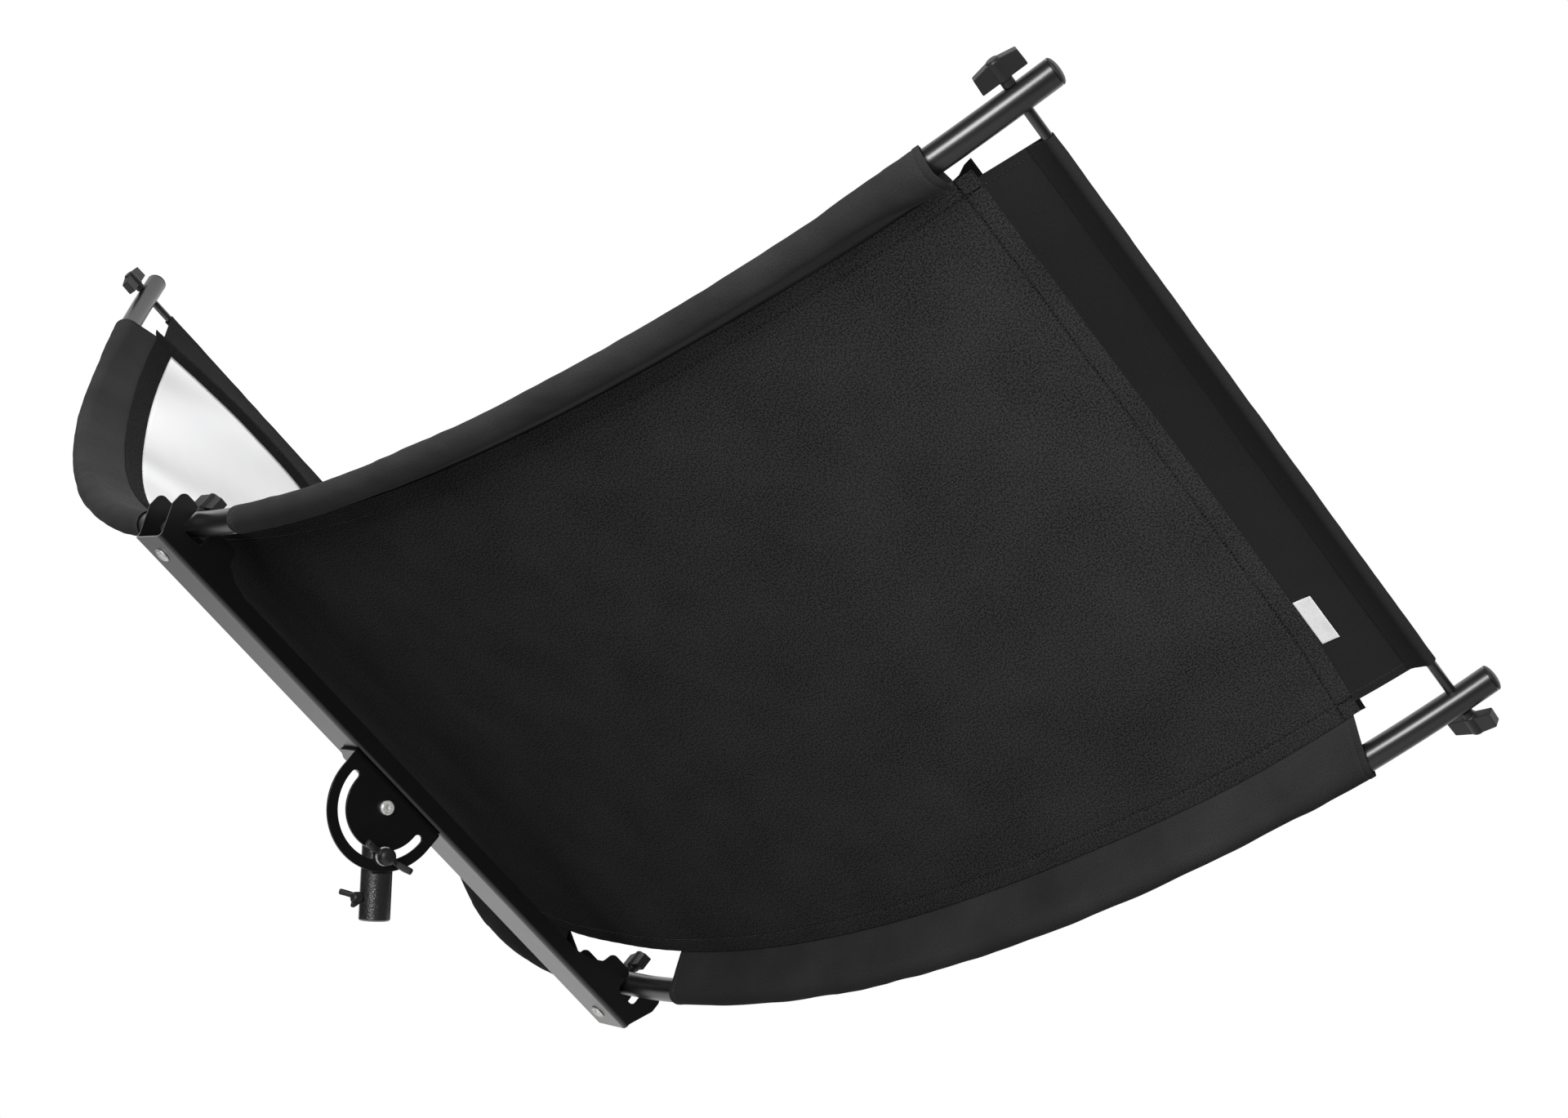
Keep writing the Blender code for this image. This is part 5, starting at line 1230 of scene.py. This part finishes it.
def snap_clip(tag, side, end):
    """Domed button and its spring leaf inside the joint."""
    tip = TUBE_RADIUS + 0.6 * MM
    foot_top = 0.55 * TUBE_RADIUS
    pin = turned([(0.0, tip), (0.6 * BUTTON_RADIUS, tip - 0.25 * MM),
                  (BUTTON_RADIUS, tip - 1.6 * MM), (BUTTON_RADIUS, foot_top), (4.0 * MM, foot_top),
                  (4.0 * MM, foot_top - 1.0 * MM), (0.0, foot_top - 1.0 * MM)], sides=32)
    leaf = block((-18.0 * MM, -2.5 * MM, foot_top - 0.8 * MM), (0, 2.5 * MM, foot_top))
    mesh = joined([pin, softened(leaf, 0.2 * MM)])
    spot = side * (CENTRE_TUBE_HALF - BUTTON_FROM_JOINT)
    origin = Vector(beside_line(spot, end * TUBE_Y, 0.0))
    outward = HEAD.to_3x3() @ Vector((0, end, 0))
    mesh.transform(framed(origin, outward, along_line(spot) * side))
    keep("snap_clip_sprung_" + tag, mesh, STEEL, "spring_steel", "snap_clip_" + tag,
         "snap_clip_" + tag)


# Cloth

def stops(low, high, spacing, extra=()):
    """Even stops between two limits, with extra ones for seams and folds."""
    count = max(1, int(ceil((high - low) / spacing)))
    even = np.linspace(low, high, count + 1)
    extra = np.array([value for value in extra if low < value < high])
    if len(extra):
        even = even[[min(abs(extra - value)) > 0.4 * MM or value in (low, high) for value in even]]
    return np.unique(np.concatenate([even, extra]))


def seam_lines(at, width=1.3 * MM):
    """Stops across a sewn groove."""
    return [at - width, at - 0.45 * width, at, at + 0.45 * width, at + width]


def groove(value, at, width=1.3 * MM):
    """A rounded dip of unit depth at a seam line."""
    return np.exp(-((value - at) / (0.55 * width)) ** 2)


def both_ways(values):
    return [*values, *[-value for value in values]]


def laid(name, columns, rows, layer, thickness, finish, slot, node, shape, smooth):
    """One layer of stretched cloth on the bent surface."""
    distance, y = np.meshgrid(columns, rows, indexing="ij")
    points = on_panel(distance, y, layer + shape(distance, y))
    mesh = sheet_mesh(points, np.stack([distance, y], axis=-1), thickness)
    return keep(name, mesh, finish, slot, "head", node, smooth=smooth)


def back_panel():
    """Knit panel with folded and sewn edges."""
    seam_s, edge_s = PANEL_HALF_LENGTH - STITCH_FROM_EDGE, PANEL_HALF_LENGTH - 0.8 * MM
    seam_y, edge_y = PANEL_HALF_WIDTH - STITCH_FROM_EDGE, PANEL_HALF_WIDTH - 0.8 * MM
    columns = stops(-PANEL_HALF_LENGTH, PANEL_HALF_LENGTH, 6.5 * MM,
                    both_ways([*seam_lines(seam_s), edge_s]))
    rows = stops(-PANEL_HALF_WIDTH, PANEL_HALF_WIDTH, 6.0 * MM,
                 both_ways([*seam_lines(seam_y), edge_y]))

    def shape(distance, y):
        """Outward is down here: the hem stands proud, and the seam is drawn in."""
        reach, out = np.abs(distance), np.abs(y)
        line = np.maximum(groove(reach, seam_s) * (out < seam_y + 1.0 * MM),
                          groove(out, seam_y) * (reach < seam_s + 1.0 * MM))
        hem = np.maximum(ease((reach - seam_s) / (2.0 * MM)), ease((out - seam_y) / (2.0 * MM)))
        pucker = 0.12 * MM * np.sin(2 * pi * (distance + y) / (9.0 * MM)) * hem
        return line * 0.25 * MM - hem * 0.30 * MM + pucker

    piece = laid("back_panel_knit", columns, rows, BACK_LAYER, PANEL_THICKNESS, KNIT,
                 "charcoal_knit", "back_panel", shape, 50.0)
    across, along = np.linspace(-seam_y, seam_y, 180), np.linspace(-seam_s, seam_s, 520)
    lines = [(np.full_like(across, side * seam_s), across) for side in SIDES.values()]
    lines += [(along, np.full_like(along, end * seam_y)) for end in ENDS.values()]
    paths = [on_panel(s, y, BACK_LAYER - PANEL_THICKNESS / 2 + 0.15 * MM) for s, y in lines]
    thread = sewn("back_panel_stitches", paths, 2.5 * MM, 0.32 * MM, "charcoal_knit")


def geometry_tree(name, inputs, nodes, joins):
    """A Geometry Nodes tree from its named inputs, its nodes and what feeds what."""
    tree = bpy.data.node_groups.new(name, "GeometryNodeTree")
    for label, kind in inputs.items():
        tree.interface.new_socket(label, in_out="INPUT", socket_type="NodeSocket" + kind)
    tree.interface.new_socket("Finished", in_out="OUTPUT", socket_type="NodeSocketGeometry")
    build = Nodes(tree)
    made = {"inputs": build.node("NodeGroupInput"), "finished": build.node("NodeGroupOutput")}
    for label, (kind, values, settings) in nodes.items():
        made[label] = build.node(kind, values, **settings)
    for source, output, target, socket in joins:
        build.join(made[source].outputs[output], made[target].inputs[socket])
    return tree


# Thread stitches set along a line at an even pitch
STITCH_TREE = geometry_tree("stitches", {
    "Line": "Geometry", "Pitch": "Float", "Stitch length": "Float", "Thread radius": "Float",
    "Thread": "Material",
}, {
    "spaced": ("GeometryNodeResampleCurve", {}, {"mode": "LENGTH"}),
    "bead": ("GeometryNodeMeshUVSphere", {"Segments": 6, "Rings": 5, "Radius": 1.0}, {}),
    "size": ("ShaderNodeCombineXYZ", {}, {}),
    "half": ("ShaderNodeMath", {1: 0.5}, {"operation": "MULTIPLY"}),
    "shaped": ("GeometryNodeTransform", {}, {}),
    "tangent": ("GeometryNodeInputTangent", {}, {}),
    "aligned": ("FunctionNodeAlignRotationToVector", {}, {"axis": "Z"}),
    "placed": ("GeometryNodeInstanceOnPoints", {}, {}),
    "real": ("GeometryNodeRealizeInstances", {}, {}),
    "coated": ("GeometryNodeSetMaterial", {}, {}),
}, [
    ("inputs", "Line", "spaced", "Curve"),
    ("inputs", "Pitch", "spaced", "Length"),
    ("inputs", "Thread radius", "size", "X"),
    ("inputs", "Thread radius", "size", "Y"),
    ("inputs", "Stitch length", "half", 0),
    ("half", "Value", "size", "Z"),
    ("bead", "Mesh", "shaped", "Geometry"),
    ("size", "Vector", "shaped", "Scale"),
    ("tangent", "Tangent", "aligned", "Vector"),
    ("spaced", "Curve", "placed", "Points"),
    ("shaped", "Geometry", "placed", "Instance"),
    ("aligned", "Rotation", "placed", "Rotation"),
    ("placed", "Instances", "real", "Geometry"),
    ("real", "Geometry", "coated", "Geometry"),
    ("inputs", "Thread", "coated", "Material"),
    ("coated", "Geometry", "finished", "Finished"),
])

# Short fibres that stand up from a strip of loop pile
FUZZ_TREE = geometry_tree("fuzz", {
    "Strip": "Geometry", "Fibres per square metre": "Float", "Fibre length": "Float",
    "Fibre radius": "Float", "Seed": "Int", "Pile": "Material",
}, {
    "spread": ("GeometryNodeDistributePointsOnFaces", {}, {}),
    "fibre": ("GeometryNodeMeshCone", {"Vertices": 3, "Radius Top": 0.02 * MM},
              {"fill_type": "NONE"}),
    "placed": ("GeometryNodeInstanceOnPoints", {}, {}),
    "lean": ("FunctionNodeRandomValue", {"Min": (-0.9, -0.9, -3.0), "Max": (0.9, 0.9, 3.0)},
             {"data_type": "FLOAT_VECTOR"}),
    "leaned": ("FunctionNodeRotateRotation", {}, {"rotation_space": "LOCAL"}),
    "to_turn": ("FunctionNodeEulerToRotation", {}, {}),
    "size": ("FunctionNodeRandomValue", {2: 0.5, 3: 1.25}, {"data_type": "FLOAT"}),
    "both": ("GeometryNodeJoinGeometry", {}, {}),
    "real": ("GeometryNodeRealizeInstances", {}, {}),
    "coated": ("GeometryNodeSetMaterial", {}, {}),
}, [
    ("inputs", "Strip", "spread", "Mesh"),
    ("inputs", "Fibres per square metre", "spread", "Density"),
    ("inputs", "Seed", "spread", "Seed"),
    ("inputs", "Seed", "lean", "Seed"),
    ("inputs", "Seed", "size", "Seed"),
    ("inputs", "Fibre length", "fibre", "Depth"),
    ("inputs", "Fibre radius", "fibre", "Radius Bottom"),
    ("spread", "Points", "placed", "Points"),
    ("fibre", "Mesh", "placed", "Instance"),
    ("lean", "Value", "to_turn", "Euler"),
    ("spread", "Rotation", "leaned", "Rotation"),
    ("to_turn", "Rotation", "leaned", "Rotate By"),
    ("leaned", "Rotation", "placed", "Rotation"),
    ("size", 1, "placed", "Scale"),
    ("inputs", "Strip", "both", "Geometry"),
    ("placed", "Instances", "both", "Geometry"),
    ("both", "Geometry", "real", "Geometry"),
    ("real", "Geometry", "coated", "Geometry"),
    ("inputs", "Pile", "coated", "Material"),
    ("coated", "Geometry", "finished", "Finished"),
])


def set_inputs(modifier, values):
    """Set a node modifier's inputs by the identifiers of its sockets."""
    for item in modifier.node_group.interface.items_tree:
        if item.in_out == "INPUT" and item.name in values:
            modifier[item.identifier] = values[item.name]


def grown(thing, tree, values):
    """The plain mesh that a node tree makes of a line or a strip."""
    start = loose(thing)
    modifier = start.modifiers.new(tree.name, "NODES")
    modifier.node_group = tree
    set_inputs(modifier, values)
    return made_plain(start)


def sewn(name, paths, length, radius, slot):
    """Rows of stitches along paths, as one plain mesh."""
    curve = bpy.data.curves.new(name, "CURVE")
    curve.dimensions = "3D"
    for path in paths:
        spline = curve.splines.new("POLY")
        spline.points.add(len(path) - 1)
        spline.points.foreach_set("co", np.c_[path, np.ones(len(path))].ravel())
    stitches = grown(curve, STITCH_TREE, {
        "Pitch": STITCH_PITCH, "Stitch length": length, "Thread radius": radius, "Thread": THREAD})
    return keep(name, stitches, THREAD, slot, "head", smooth=None)


def fuzzy(mesh, seed):
    return grown(mesh, FUZZ_TREE, {
        "Fibres per square metre": 180000.0, "Fibre length": 1.5 * MM, "Fibre radius": 0.14 * MM,
        "Seed": seed, "Pile": PILE})


def silver_panel():
    columns = stops(-SILVER_HALF_LENGTH, SILVER_HALF_LENGTH, 6.5 * MM)
    rows = stops(-SILVER_HALF_WIDTH, SILVER_HALF_WIDTH, 6.0 * MM)

    def shape(distance, y):
        """Fine pull lines from the sewn edges inwards, only towards the hollow side."""
        to_edge = SILVER_HALF_WIDTH - np.abs(y)
        pulls = 0.5 + 0.5 * ripples(distance * 3.0, y * 0.4, 0.10, 3)
        return 0.35 * MM * np.clip(pulls, 0.0, 1.5) * np.exp(-to_edge / 0.05)

    piece = laid("silver_panel_cloth", columns, rows, SILVER_LAYER, SILVER_THICKNESS, SILVER,
                 "silver_cloth", "silver_panel", shape, None)


def loop_strip(label, distance, y, seed):
    mesh = sheet_mesh(on_panel(distance, y, BINDING_LAYER), np.stack([distance, y], axis=-1),
                      0.9 * BINDING_THICKNESS)
    piece = keep("loop_strip_" + label, fuzzy(mesh, seed), PILE, "loop_pile", "head",
                 "binding_" + label, smooth=50.0)


def loop_strips():
    """Rough strips of loop pile round the silver panel."""
    inner = BINDING_OUTER - BINDING_WIDTH
    share = np.linspace(0.0, 1.0, 7)
    for number, (label, end) in enumerate(ENDS.items()):
        columns = stops(-BINDING_END, BINDING_END, 7.0 * MM)
        distance, across = np.meshgrid(columns, share, indexing="ij")
        worn = 0.6 * MM * ripples(distance, 0.0 * distance, 0.05, 21 + number)
        corner = (np.where(distance > 0.0, *STRIP_CORNERS[label])
                  * ease((np.abs(distance) - STRIP_CORNER_STARTS) / STRIP_CORNER_GROWS_OVER))
        outer = BINDING_OUTER - 0.8 * MM + 0.5 * worn + corner
        loop_strip(label, distance, end * (inner + (outer - inner) * across), 40 + number)
    for number, (label, side) in enumerate(SIDES.items()):
        rows = stops(-inner + GAP, inner - GAP, 7.0 * MM)
        across, y = np.meshgrid(share, rows, indexing="ij")
        worn = 0.6 * MM * ripples(y, 0.0 * y, 0.05, 31 + number)
        distance = side * (BINDING_END - BINDING_WIDTH + (BINDING_WIDTH + worn) * across)
        loop_strip(label, distance, y, 50 + number)


def sleeve_section(distance, radius, centre):
    """Swings where the sleeve leaves its ring on its way to the seam."""
    inset = centre[0] - SEAM_Y
    lift = float(edge_lift(distance))
    swings = []
    for layer, turn in ((FIRST_LAYER, -1), (SECOND_LAYER, 1)):
        height = lift + layer - centre[1]
        length = (inset ** 2 + height ** 2) ** 0.5
        swings.append(atan2(height, inset) + turn * acos(radius / length))
    return lift, swings[0], swings[1] - 2 * pi


def sleeve_loops(columns, end, mouth_hang):
    """Sections of a sleeve, each from the seam round the tube and back."""
    loops = []
    for stop in columns:
        swell = SLEEVE_SWELL * float(ease((stop - SLEEVE_SWELL_STARTS) / SLEEVE_SWELL_GROWS_OVER))
        over_joint = (float(ease((stop - JOINT_BUMP_STARTS) / JOINT_BUMP_GROWS_OVER))
                      - float(ease((stop - JOINT_BUMP_ENDS) / JOINT_BUMP_GROWS_OVER)))
        hang = mouth_hang * float(ease((stop - SLEEVE_MOUTH_STARTS) / SLEEVE_MOUTH_GROWS_OVER))
        radius = SLEEVE_RADIUS + swell + JOINT_BUMP * over_joint + 0.9 * hang
        centre = (TUBE_Y + end * sin(TILT_ANGLE) * hang, -cos(TILT_ANGLE) * hang)
        lift, first, last = sleeve_section(stop, radius, centre)
        swing = np.linspace(first, last, 40)
        ring = np.stack([centre[0] - radius * np.cos(swing),
                         centre[1] + radius * np.sin(swing)], axis=-1)
        seam_low = np.array([SEAM_Y, lift + FIRST_LAYER])
        seam_high = np.array([SEAM_Y, lift + SECOND_LAYER])
        share = np.linspace(0.0, 1.0, 7)[1:-1, None]
        down = seam_low + (ring[0] - seam_low) * share
        up = ring[-1] + (seam_high - ring[-1]) * share
        loops.append(np.concatenate([seam_low[None], down, ring, up, seam_high[None]]))
    return np.array(loops)


def creased(loops, distance, girth, seed):
    """The sleeve's sections with its creases and the thicker hems at its ends."""
    free = np.clip(np.sin(pi * girth / girth[:, -1:]), 0.0, 1.0) ** 0.8
    by_end = np.exp(-(distance - SLEEVE_START) / 0.05) + np.exp(-(SLEEVE_END - distance) / 0.05)
    creases = (0.22 * MM * ripples(distance, girth, 0.085, 60 + seed)
               + 0.16 * MM * ripples(distance + 1.7 * girth, girth, 0.030, 80 + seed, 6)
               + 0.26 * MM * by_end * ripples(distance, 2.0 * girth, 0.040, 70 + seed, 6))
    first_hem, last_hem = SLEEVE_START + SLEEVE_HEM, SLEEVE_END - SLEEVE_HEM
    thick = np.maximum(ease((first_hem - distance) / (1.5 * MM)),
                       ease((distance - last_hem) / (1.5 * MM)))
    sewn_in = np.maximum(groove(distance, first_hem), groove(distance, last_hem))
    hem = 0.35 * MM * thick - 0.35 * MM * sewn_in
    out = np.gradient(loops, axis=1)
    normal = np.stack([-out[..., 1], out[..., 0]], axis=-1)
    normal /= np.linalg.norm(normal, axis=-1, keepdims=True)
    from_tube = loops - np.array([TUBE_Y, 0.0])
    normal *= np.sign(np.sum(normal * from_tube, axis=-1, keepdims=True) + 1e-9)
    return loops + normal * ((np.maximum(creases, -0.30 * MM) + hem) * free)[..., None]


def seam_lean(distance):
    """How far a sleeve's two ends lean outwards beside the seam."""
    return SLEEVE_END_LEAN * (ease((distance - SLEEVE_END) / SLEEVE_LEAN_OVER + 1.0)
                              + ease((SLEEVE_START - distance) / SLEEVE_LEAN_OVER + 1.0))


def sleeve(tag, end_label, end, side):
    """Cloth from the seam round the tube and back, sewn to the panel with its two tails."""
    mouth_reach, mouth_hang = SLEEVE_MOUTHS[tag]
    first_hem, last_hem = SLEEVE_START + SLEEVE_HEM, SLEEVE_END - SLEEVE_HEM
    columns = stops(SLEEVE_START, SLEEVE_END, 5.0 * MM, [
        SLEEVE_START + 1.2 * MM, SLEEVE_END - 1.2 * MM, *seam_lines(first_hem),
        *seam_lines(last_hem)])
    loops = sleeve_loops(columns, end, mouth_hang)
    steps = np.linalg.norm(np.diff(loops, axis=1), axis=-1)
    girth = np.concatenate([np.zeros((len(columns), 1)), np.cumsum(steps, axis=1)], axis=1)
    whole = girth[:, -1:]
    distance = np.repeat(columns[:, None], loops.shape[1], axis=1)
    loops = creased(loops, distance, girth, 3 * (end + 1) + (side + 1))
    near_seam = np.clip((TUBE_Y - loops[..., 0]) / (TUBE_Y - SEAM_Y), 0.0, 1.0)
    at_mouth = ease((distance - SLEEVE_END) / SLEEVE_BOW_OVER + 1.0)
    bowed = mouth_reach * np.sin(pi * girth / whole) * at_mouth
    along = side * (distance + seam_lean(distance) * near_seam + bowed)
    drawn = corner_pull(side * distance, end * SEAM_Y) * near_seam
    body = beside_line(along, end * loops[..., 0] + drawn, loops[..., 1])
    tail = np.linspace(SEAM_Y - SLEEVE_TAIL, SEAM_Y, 5)
    s, y = np.meshgrid(columns, end * tail, indexing="ij")
    s = side * (s + seam_lean(s))
    y_drawn = y + corner_pull(s, y)
    tails = [beside_line(s, y_drawn, cloth_lift(s, y) + layer)
             for layer in (FIRST_LAYER, SECOND_LAYER)]
    points = np.concatenate([tails[0][:, :-1], body, tails[1][:, -2::-1]], axis=1)
    v = np.concatenate([tail[None, :-1] - SEAM_Y + 0.0 * whole, girth,
                        whole + SEAM_Y - tail[None, -2::-1]], axis=1)
    uv = np.stack([np.broadcast_to(columns[:, None], v.shape), v], axis=-1)
    piece = keep("sleeve_cloth_" + tag, sheet_mesh(points, uv, CLOTH_THICKNESS), SLEEVE,
                 "black_cloth", "head", "sleeve_" + tag, smooth=60.0)
    paths = []
    for at in (first_hem, last_hem):
        row = int(np.argmin(np.abs(columns - at)))
        line = points[row, len(tail) - 1:len(tail) - 1 + loops.shape[1]]
        away = line - beside_line(side * columns[row], end * TUBE_Y, 0.0)
        away /= np.linalg.norm(away, axis=-1, keepdims=True)
        paths.append(line + away * (CLOTH_THICKNESS / 2))
    thread = sewn("sleeve_stitches_" + tag, paths, 2.4 * MM, 0.30 * MM, "black_cloth")


def flap_slant(y, share):
    """The flap sits a little high, less so at its lower edge beside the panel."""
    return y + FLAP_SHIFT * (1.0 - share * (y + FLAP_HALF_WIDTH) / (2 * FLAP_HALF_WIDTH))


def end_flap(label, side):
    """Cloth from under the panel's end to the rod, round it in a sewn hem, and back."""
    sewn_at = ROD_FROM_MIDDLE - HEM_RETURN + 3.0 * MM
    flat_stops = stops(FLAP_START, ROD_FROM_MIDDLE - 1.0 * MM, 5.0 * MM,
                       [PANEL_HALF_LENGTH, *seam_lines(sewn_at)])
    swings = np.linspace(pi / 2, pi / 2 - HEM_WRAP, 22)
    back_stops = np.linspace(ROD_FROM_MIDDLE - 4.5 * MM, ROD_FROM_MIDDLE - HEM_RETURN, 4)
    low, high = -FLAP_HALF_WIDTH, FLAP_HALF_WIDTH
    rows = stops(low, high, 6.0 * MM, [low + 0.8 * MM, high - 0.8 * MM,
                                       *seam_lines(low + FLAP_HEM), *seam_lines(high - FLAP_HEM)])
    share = (ROD_FROM_MIDDLE - flat_stops) / (ROD_FROM_MIDDLE - FLAP_START)
    flat_s, y = np.meshgrid(flat_stops, rows, indexing="ij")
    folds = np.maximum(ease((low + FLAP_HEM - y) / (1.5 * MM)),
                       ease((y - high + FLAP_HEM) / (1.5 * MM)))
    pulls = 0.35 * MM * ripples(0.3 * flat_s, y, 0.05, 90 + side) * np.sin(pi * share)[:, None]
    y = flap_slant(y, share[:, None])
    flat = beside_line(side * flat_s, y,
                       cloth_lift(side * flat_s, y) + (FIRST_LAYER * share)[:, None] + pulls)
    swing, y = np.meshgrid(swings, rows, indexing="ij")
    round_rod = HEM_RADIUS + 0.15 * MM * ripples(y, 0.0 * y, 0.03, 95 + side)
    y = flap_slant(y, 0.0)
    hem = beside_line(side * (ROD_FROM_MIDDLE + round_rod * np.cos(swing)), y,
                      round_rod * np.sin(swing))
    back_s, y = np.meshgrid(back_stops, rows, indexing="ij")
    y = flap_slant(y, 0.0)
    close = cloth_lift(side * back_s, y) - CLOTH_THICKNESS - LAYER_GAP
    start = -HEM_RADIUS * 0.72
    back = beside_line(side * back_s, y,
                       start + (close - start) * ease((ROD_FROM_MIDDLE - back_s) / HEM_RETURN))
    points = np.concatenate([flat, hem, back])
    run = np.concatenate([flat_stops, ROD_FROM_MIDDLE + HEM_RADIUS * (pi / 2 - swings),
                          ROD_FROM_MIDDLE + HEM_RADIUS * HEM_WRAP
                          + (ROD_FROM_MIDDLE - 4.5 * MM - back_stops)])
    uv = np.stack(np.meshgrid(run, rows, indexing="ij"), axis=-1)
    thick = CLOTH_THICKNESS * np.ones(points.shape[:2])
    thick[:len(flat_stops)] += 0.5 * MM * folds
    piece = keep("end_flap_cloth_" + label, sheet_mesh(points, uv, thick), FLAP, "black_cloth",
                 "head", "end_flap_" + label, smooth=60.0)
    line_y = np.linspace(low + 4.0 * MM, high - 4.0 * MM, 200)
    flat_at = cloth_lift(side * sewn_at, line_y)
    paths = [beside_line(side * sewn_at, line_y, flat_at + 0.55 * MM),
             beside_line(side * sewn_at, line_y, flat_at - CLOTH_THICKNESS - LAYER_GAP - 0.35 * MM)]
    for edge in (low + 7.0 * MM, high - 7.0 * MM):
        line_s = side * np.linspace(PANEL_HALF_LENGTH + 4.0 * MM, ROD_FROM_MIDDLE - 6.0 * MM, 30)
        edge_y = flap_slant(edge, (ROD_FROM_MIDDLE - abs(line_s)) / (ROD_FROM_MIDDLE - FLAP_START))
        paths.append(beside_line(line_s, edge_y, cloth_lift(line_s, edge_y) - 0.35 * MM))
    thread = sewn("end_flap_stitches_" + label, paths, 2.4 * MM, 0.28 * MM, "black_cloth")


def side_tag():
    """Bare folded ribbon that stands out from under the panel's end."""
    outer = np.linspace(PANEL_HALF_LENGTH + GAP, TAG_REACH - 0.4 * MM, 12)
    rows = stops(TAG_START, TAG_START + TAG_WIDTH, 2.5 * MM)
    s, y = np.meshgrid(outer, rows, indexing="ij")
    share = (s - PANEL_HALF_LENGTH) / (TAG_REACH - PANEL_HALF_LENGTH)
    curl = -1.0 * MM * share ** 2 + 0.25 * MM * ripples(s, y, 0.02, 7) * share
    points = beside_line(s + 3.0 * MM * (1.0 - share), y, cloth_lift(s, y) + TAG_LAYER + curl)
    mesh = softened(sheet_mesh(points, np.stack([s, y], axis=-1), TAG_THICKNESS), 0.2 * MM, 60.0, 2)
    piece = keep("side_tag_ribbon", mesh, RIBBON, "white_ribbon", "head", "side_tag", smooth=60.0)


# Light, floor and camera

def soft_light(name, place, target, width, height, power, mirrored):
    """A soft lamp; one that isn't mirrored gives light without showing in glossy surfaces."""
    lamp = bpy.data.lights.new(name, "AREA")
    lamp.shape = "RECTANGLE"
    lamp.size = width
    lamp.size_y = height
    lamp.energy = power
    holder = bpy.data.objects.new(name, lamp)
    bpy.context.scene.collection.objects.link(holder)
    holder.location = place
    aim = Vector(target) - Vector(place)
    holder.rotation_euler = aim.to_track_quat("-Z", "Y").to_euler()
    holder.visible_glossy = mirrored


def white_room():
    """White where the camera looks, a white wall in mirrors, and a little even light."""
    world = bpy.data.worlds.new("white_room")
    bpy.context.scene.world = world
    world.use_nodes = True
    room = Nodes(world.node_tree)
    background = room.nodes["Background"]
    background.inputs["Color"].default_value = (1.0, 1.0, 1.0, 1.0)
    rays = room.node("ShaderNodeLightPath").outputs
    towards = room.node("ShaderNodeTexCoord").outputs["Generated"]
    ahead = room.node("ShaderNodeVectorMath", {1: WHITE_WALL_DIRECTION}, operation="DOT_PRODUCT")
    room.join(towards, ahead.inputs[0])
    wall = room.ranged(ahead.outputs["Value"], DARK_ROOM, 1.0, WHITE_WALL_STARTS, WHITE_WALL_FULL,
                       interpolation_type="SMOOTHSTEP")
    mirrored = room.math(rays["Is Glossy Ray"], wall, "MULTIPLY")
    seen = room.math(rays["Is Camera Ray"], mirrored, "MAXIMUM")
    through = room.math(seen, rays["Is Transmission Ray"], "MAXIMUM")
    soft = room.math(rays["Is Diffuse Ray"], WORLD_LIGHT, "MULTIPLY")
    room.join(room.math(through, soft, "MAXIMUM"), background.inputs["Strength"])


def pale_floor():
    """A floor that keeps the shadow, and melts into the white room far out."""
    half = FLOOR_HALF_WIDTH
    mesh = bpy.data.meshes.new("floor")
    mesh.from_pydata([(-half, -half, FLOOR_HEIGHT), (half, -half, FLOOR_HEIGHT),
                      (half, half, FLOOR_HEIGHT), (-half, half, FLOOR_HEIGHT)], [], [(0, 1, 2, 3)])
    finish = Finish("pale_floor", (FLOOR_GREY,) * 3, 0.8)
    rays = finish.node("ShaderNodeLightPath").outputs
    grey = finish.ranged(rays["Is Camera Ray"], FLOOR_GREY, FLOOR_GREY_TO_CAMERA)
    finish.join(grey, finish.shader.inputs["Base Color"])
    middle = finish.join(finish.coordinates(),
                         finish.node("ShaderNodeVectorMath", operation="LENGTH").inputs[0])
    far_out = finish.ranged(middle.outputs["Value"], 0.0, 1.0, *FLOOR_MELTS_OUT)
    melted = finish.math(rays["Is Camera Ray"], far_out, "MULTIPLY")
    apart = finish.join(finish.coordinates(), finish.node("ShaderNodeSeparateXYZ").inputs["Vector"])
    beyond = finish.ranged(apart.outputs["X"], FLOOR_IN_MIRRORS, 0.0, *FLOOR_IN_MIRRORS_ENDS)
    mirrored = finish.math(rays["Is Glossy Ray"], beyond, "MULTIPLY")
    finish.set("Emission Color", (1.0, 1.0, 1.0, 1.0))
    finish.join(finish.math(mirrored, melted), finish.shader.inputs["Emission Strength"])
    mesh.materials.append(finish.material)
    floor = bpy.data.objects.new("floor", mesh)
    bpy.context.scene.collection.objects.link(floor)


def studio():
    scene = bpy.context.scene
    scene.view_settings.view_transform = "Standard"
    white_room()
    for name, settings in SOFT_LIGHTS.items():
        soft_light("soft_light_" + name, *settings)
    pale_floor()
    camera = bpy.data.cameras.new("camera")
    camera.lens = CAMERA_LENS
    camera.sensor_width = 36.0
    camera.clip_start = 0.05
    holder = bpy.data.objects.new("camera", camera)
    scene.collection.objects.link(holder)
    holder.location = CAMERA_PLACE
    holder.rotation_euler = CAMERA_TURN
    scene.camera = holder


stand_socket()
socket_fasteners()
tilt_plate()
foot_fasteners()
centre_channel()
knobs_and_rods()
tubes()
back_panel()
silver_panel()
loop_strips()
for corner in CORNERS:
    sleeve(*corner)
for side_name, side_sign in SIDES.items():
    end_flap(side_name, side_sign)
side_tag()
studio()
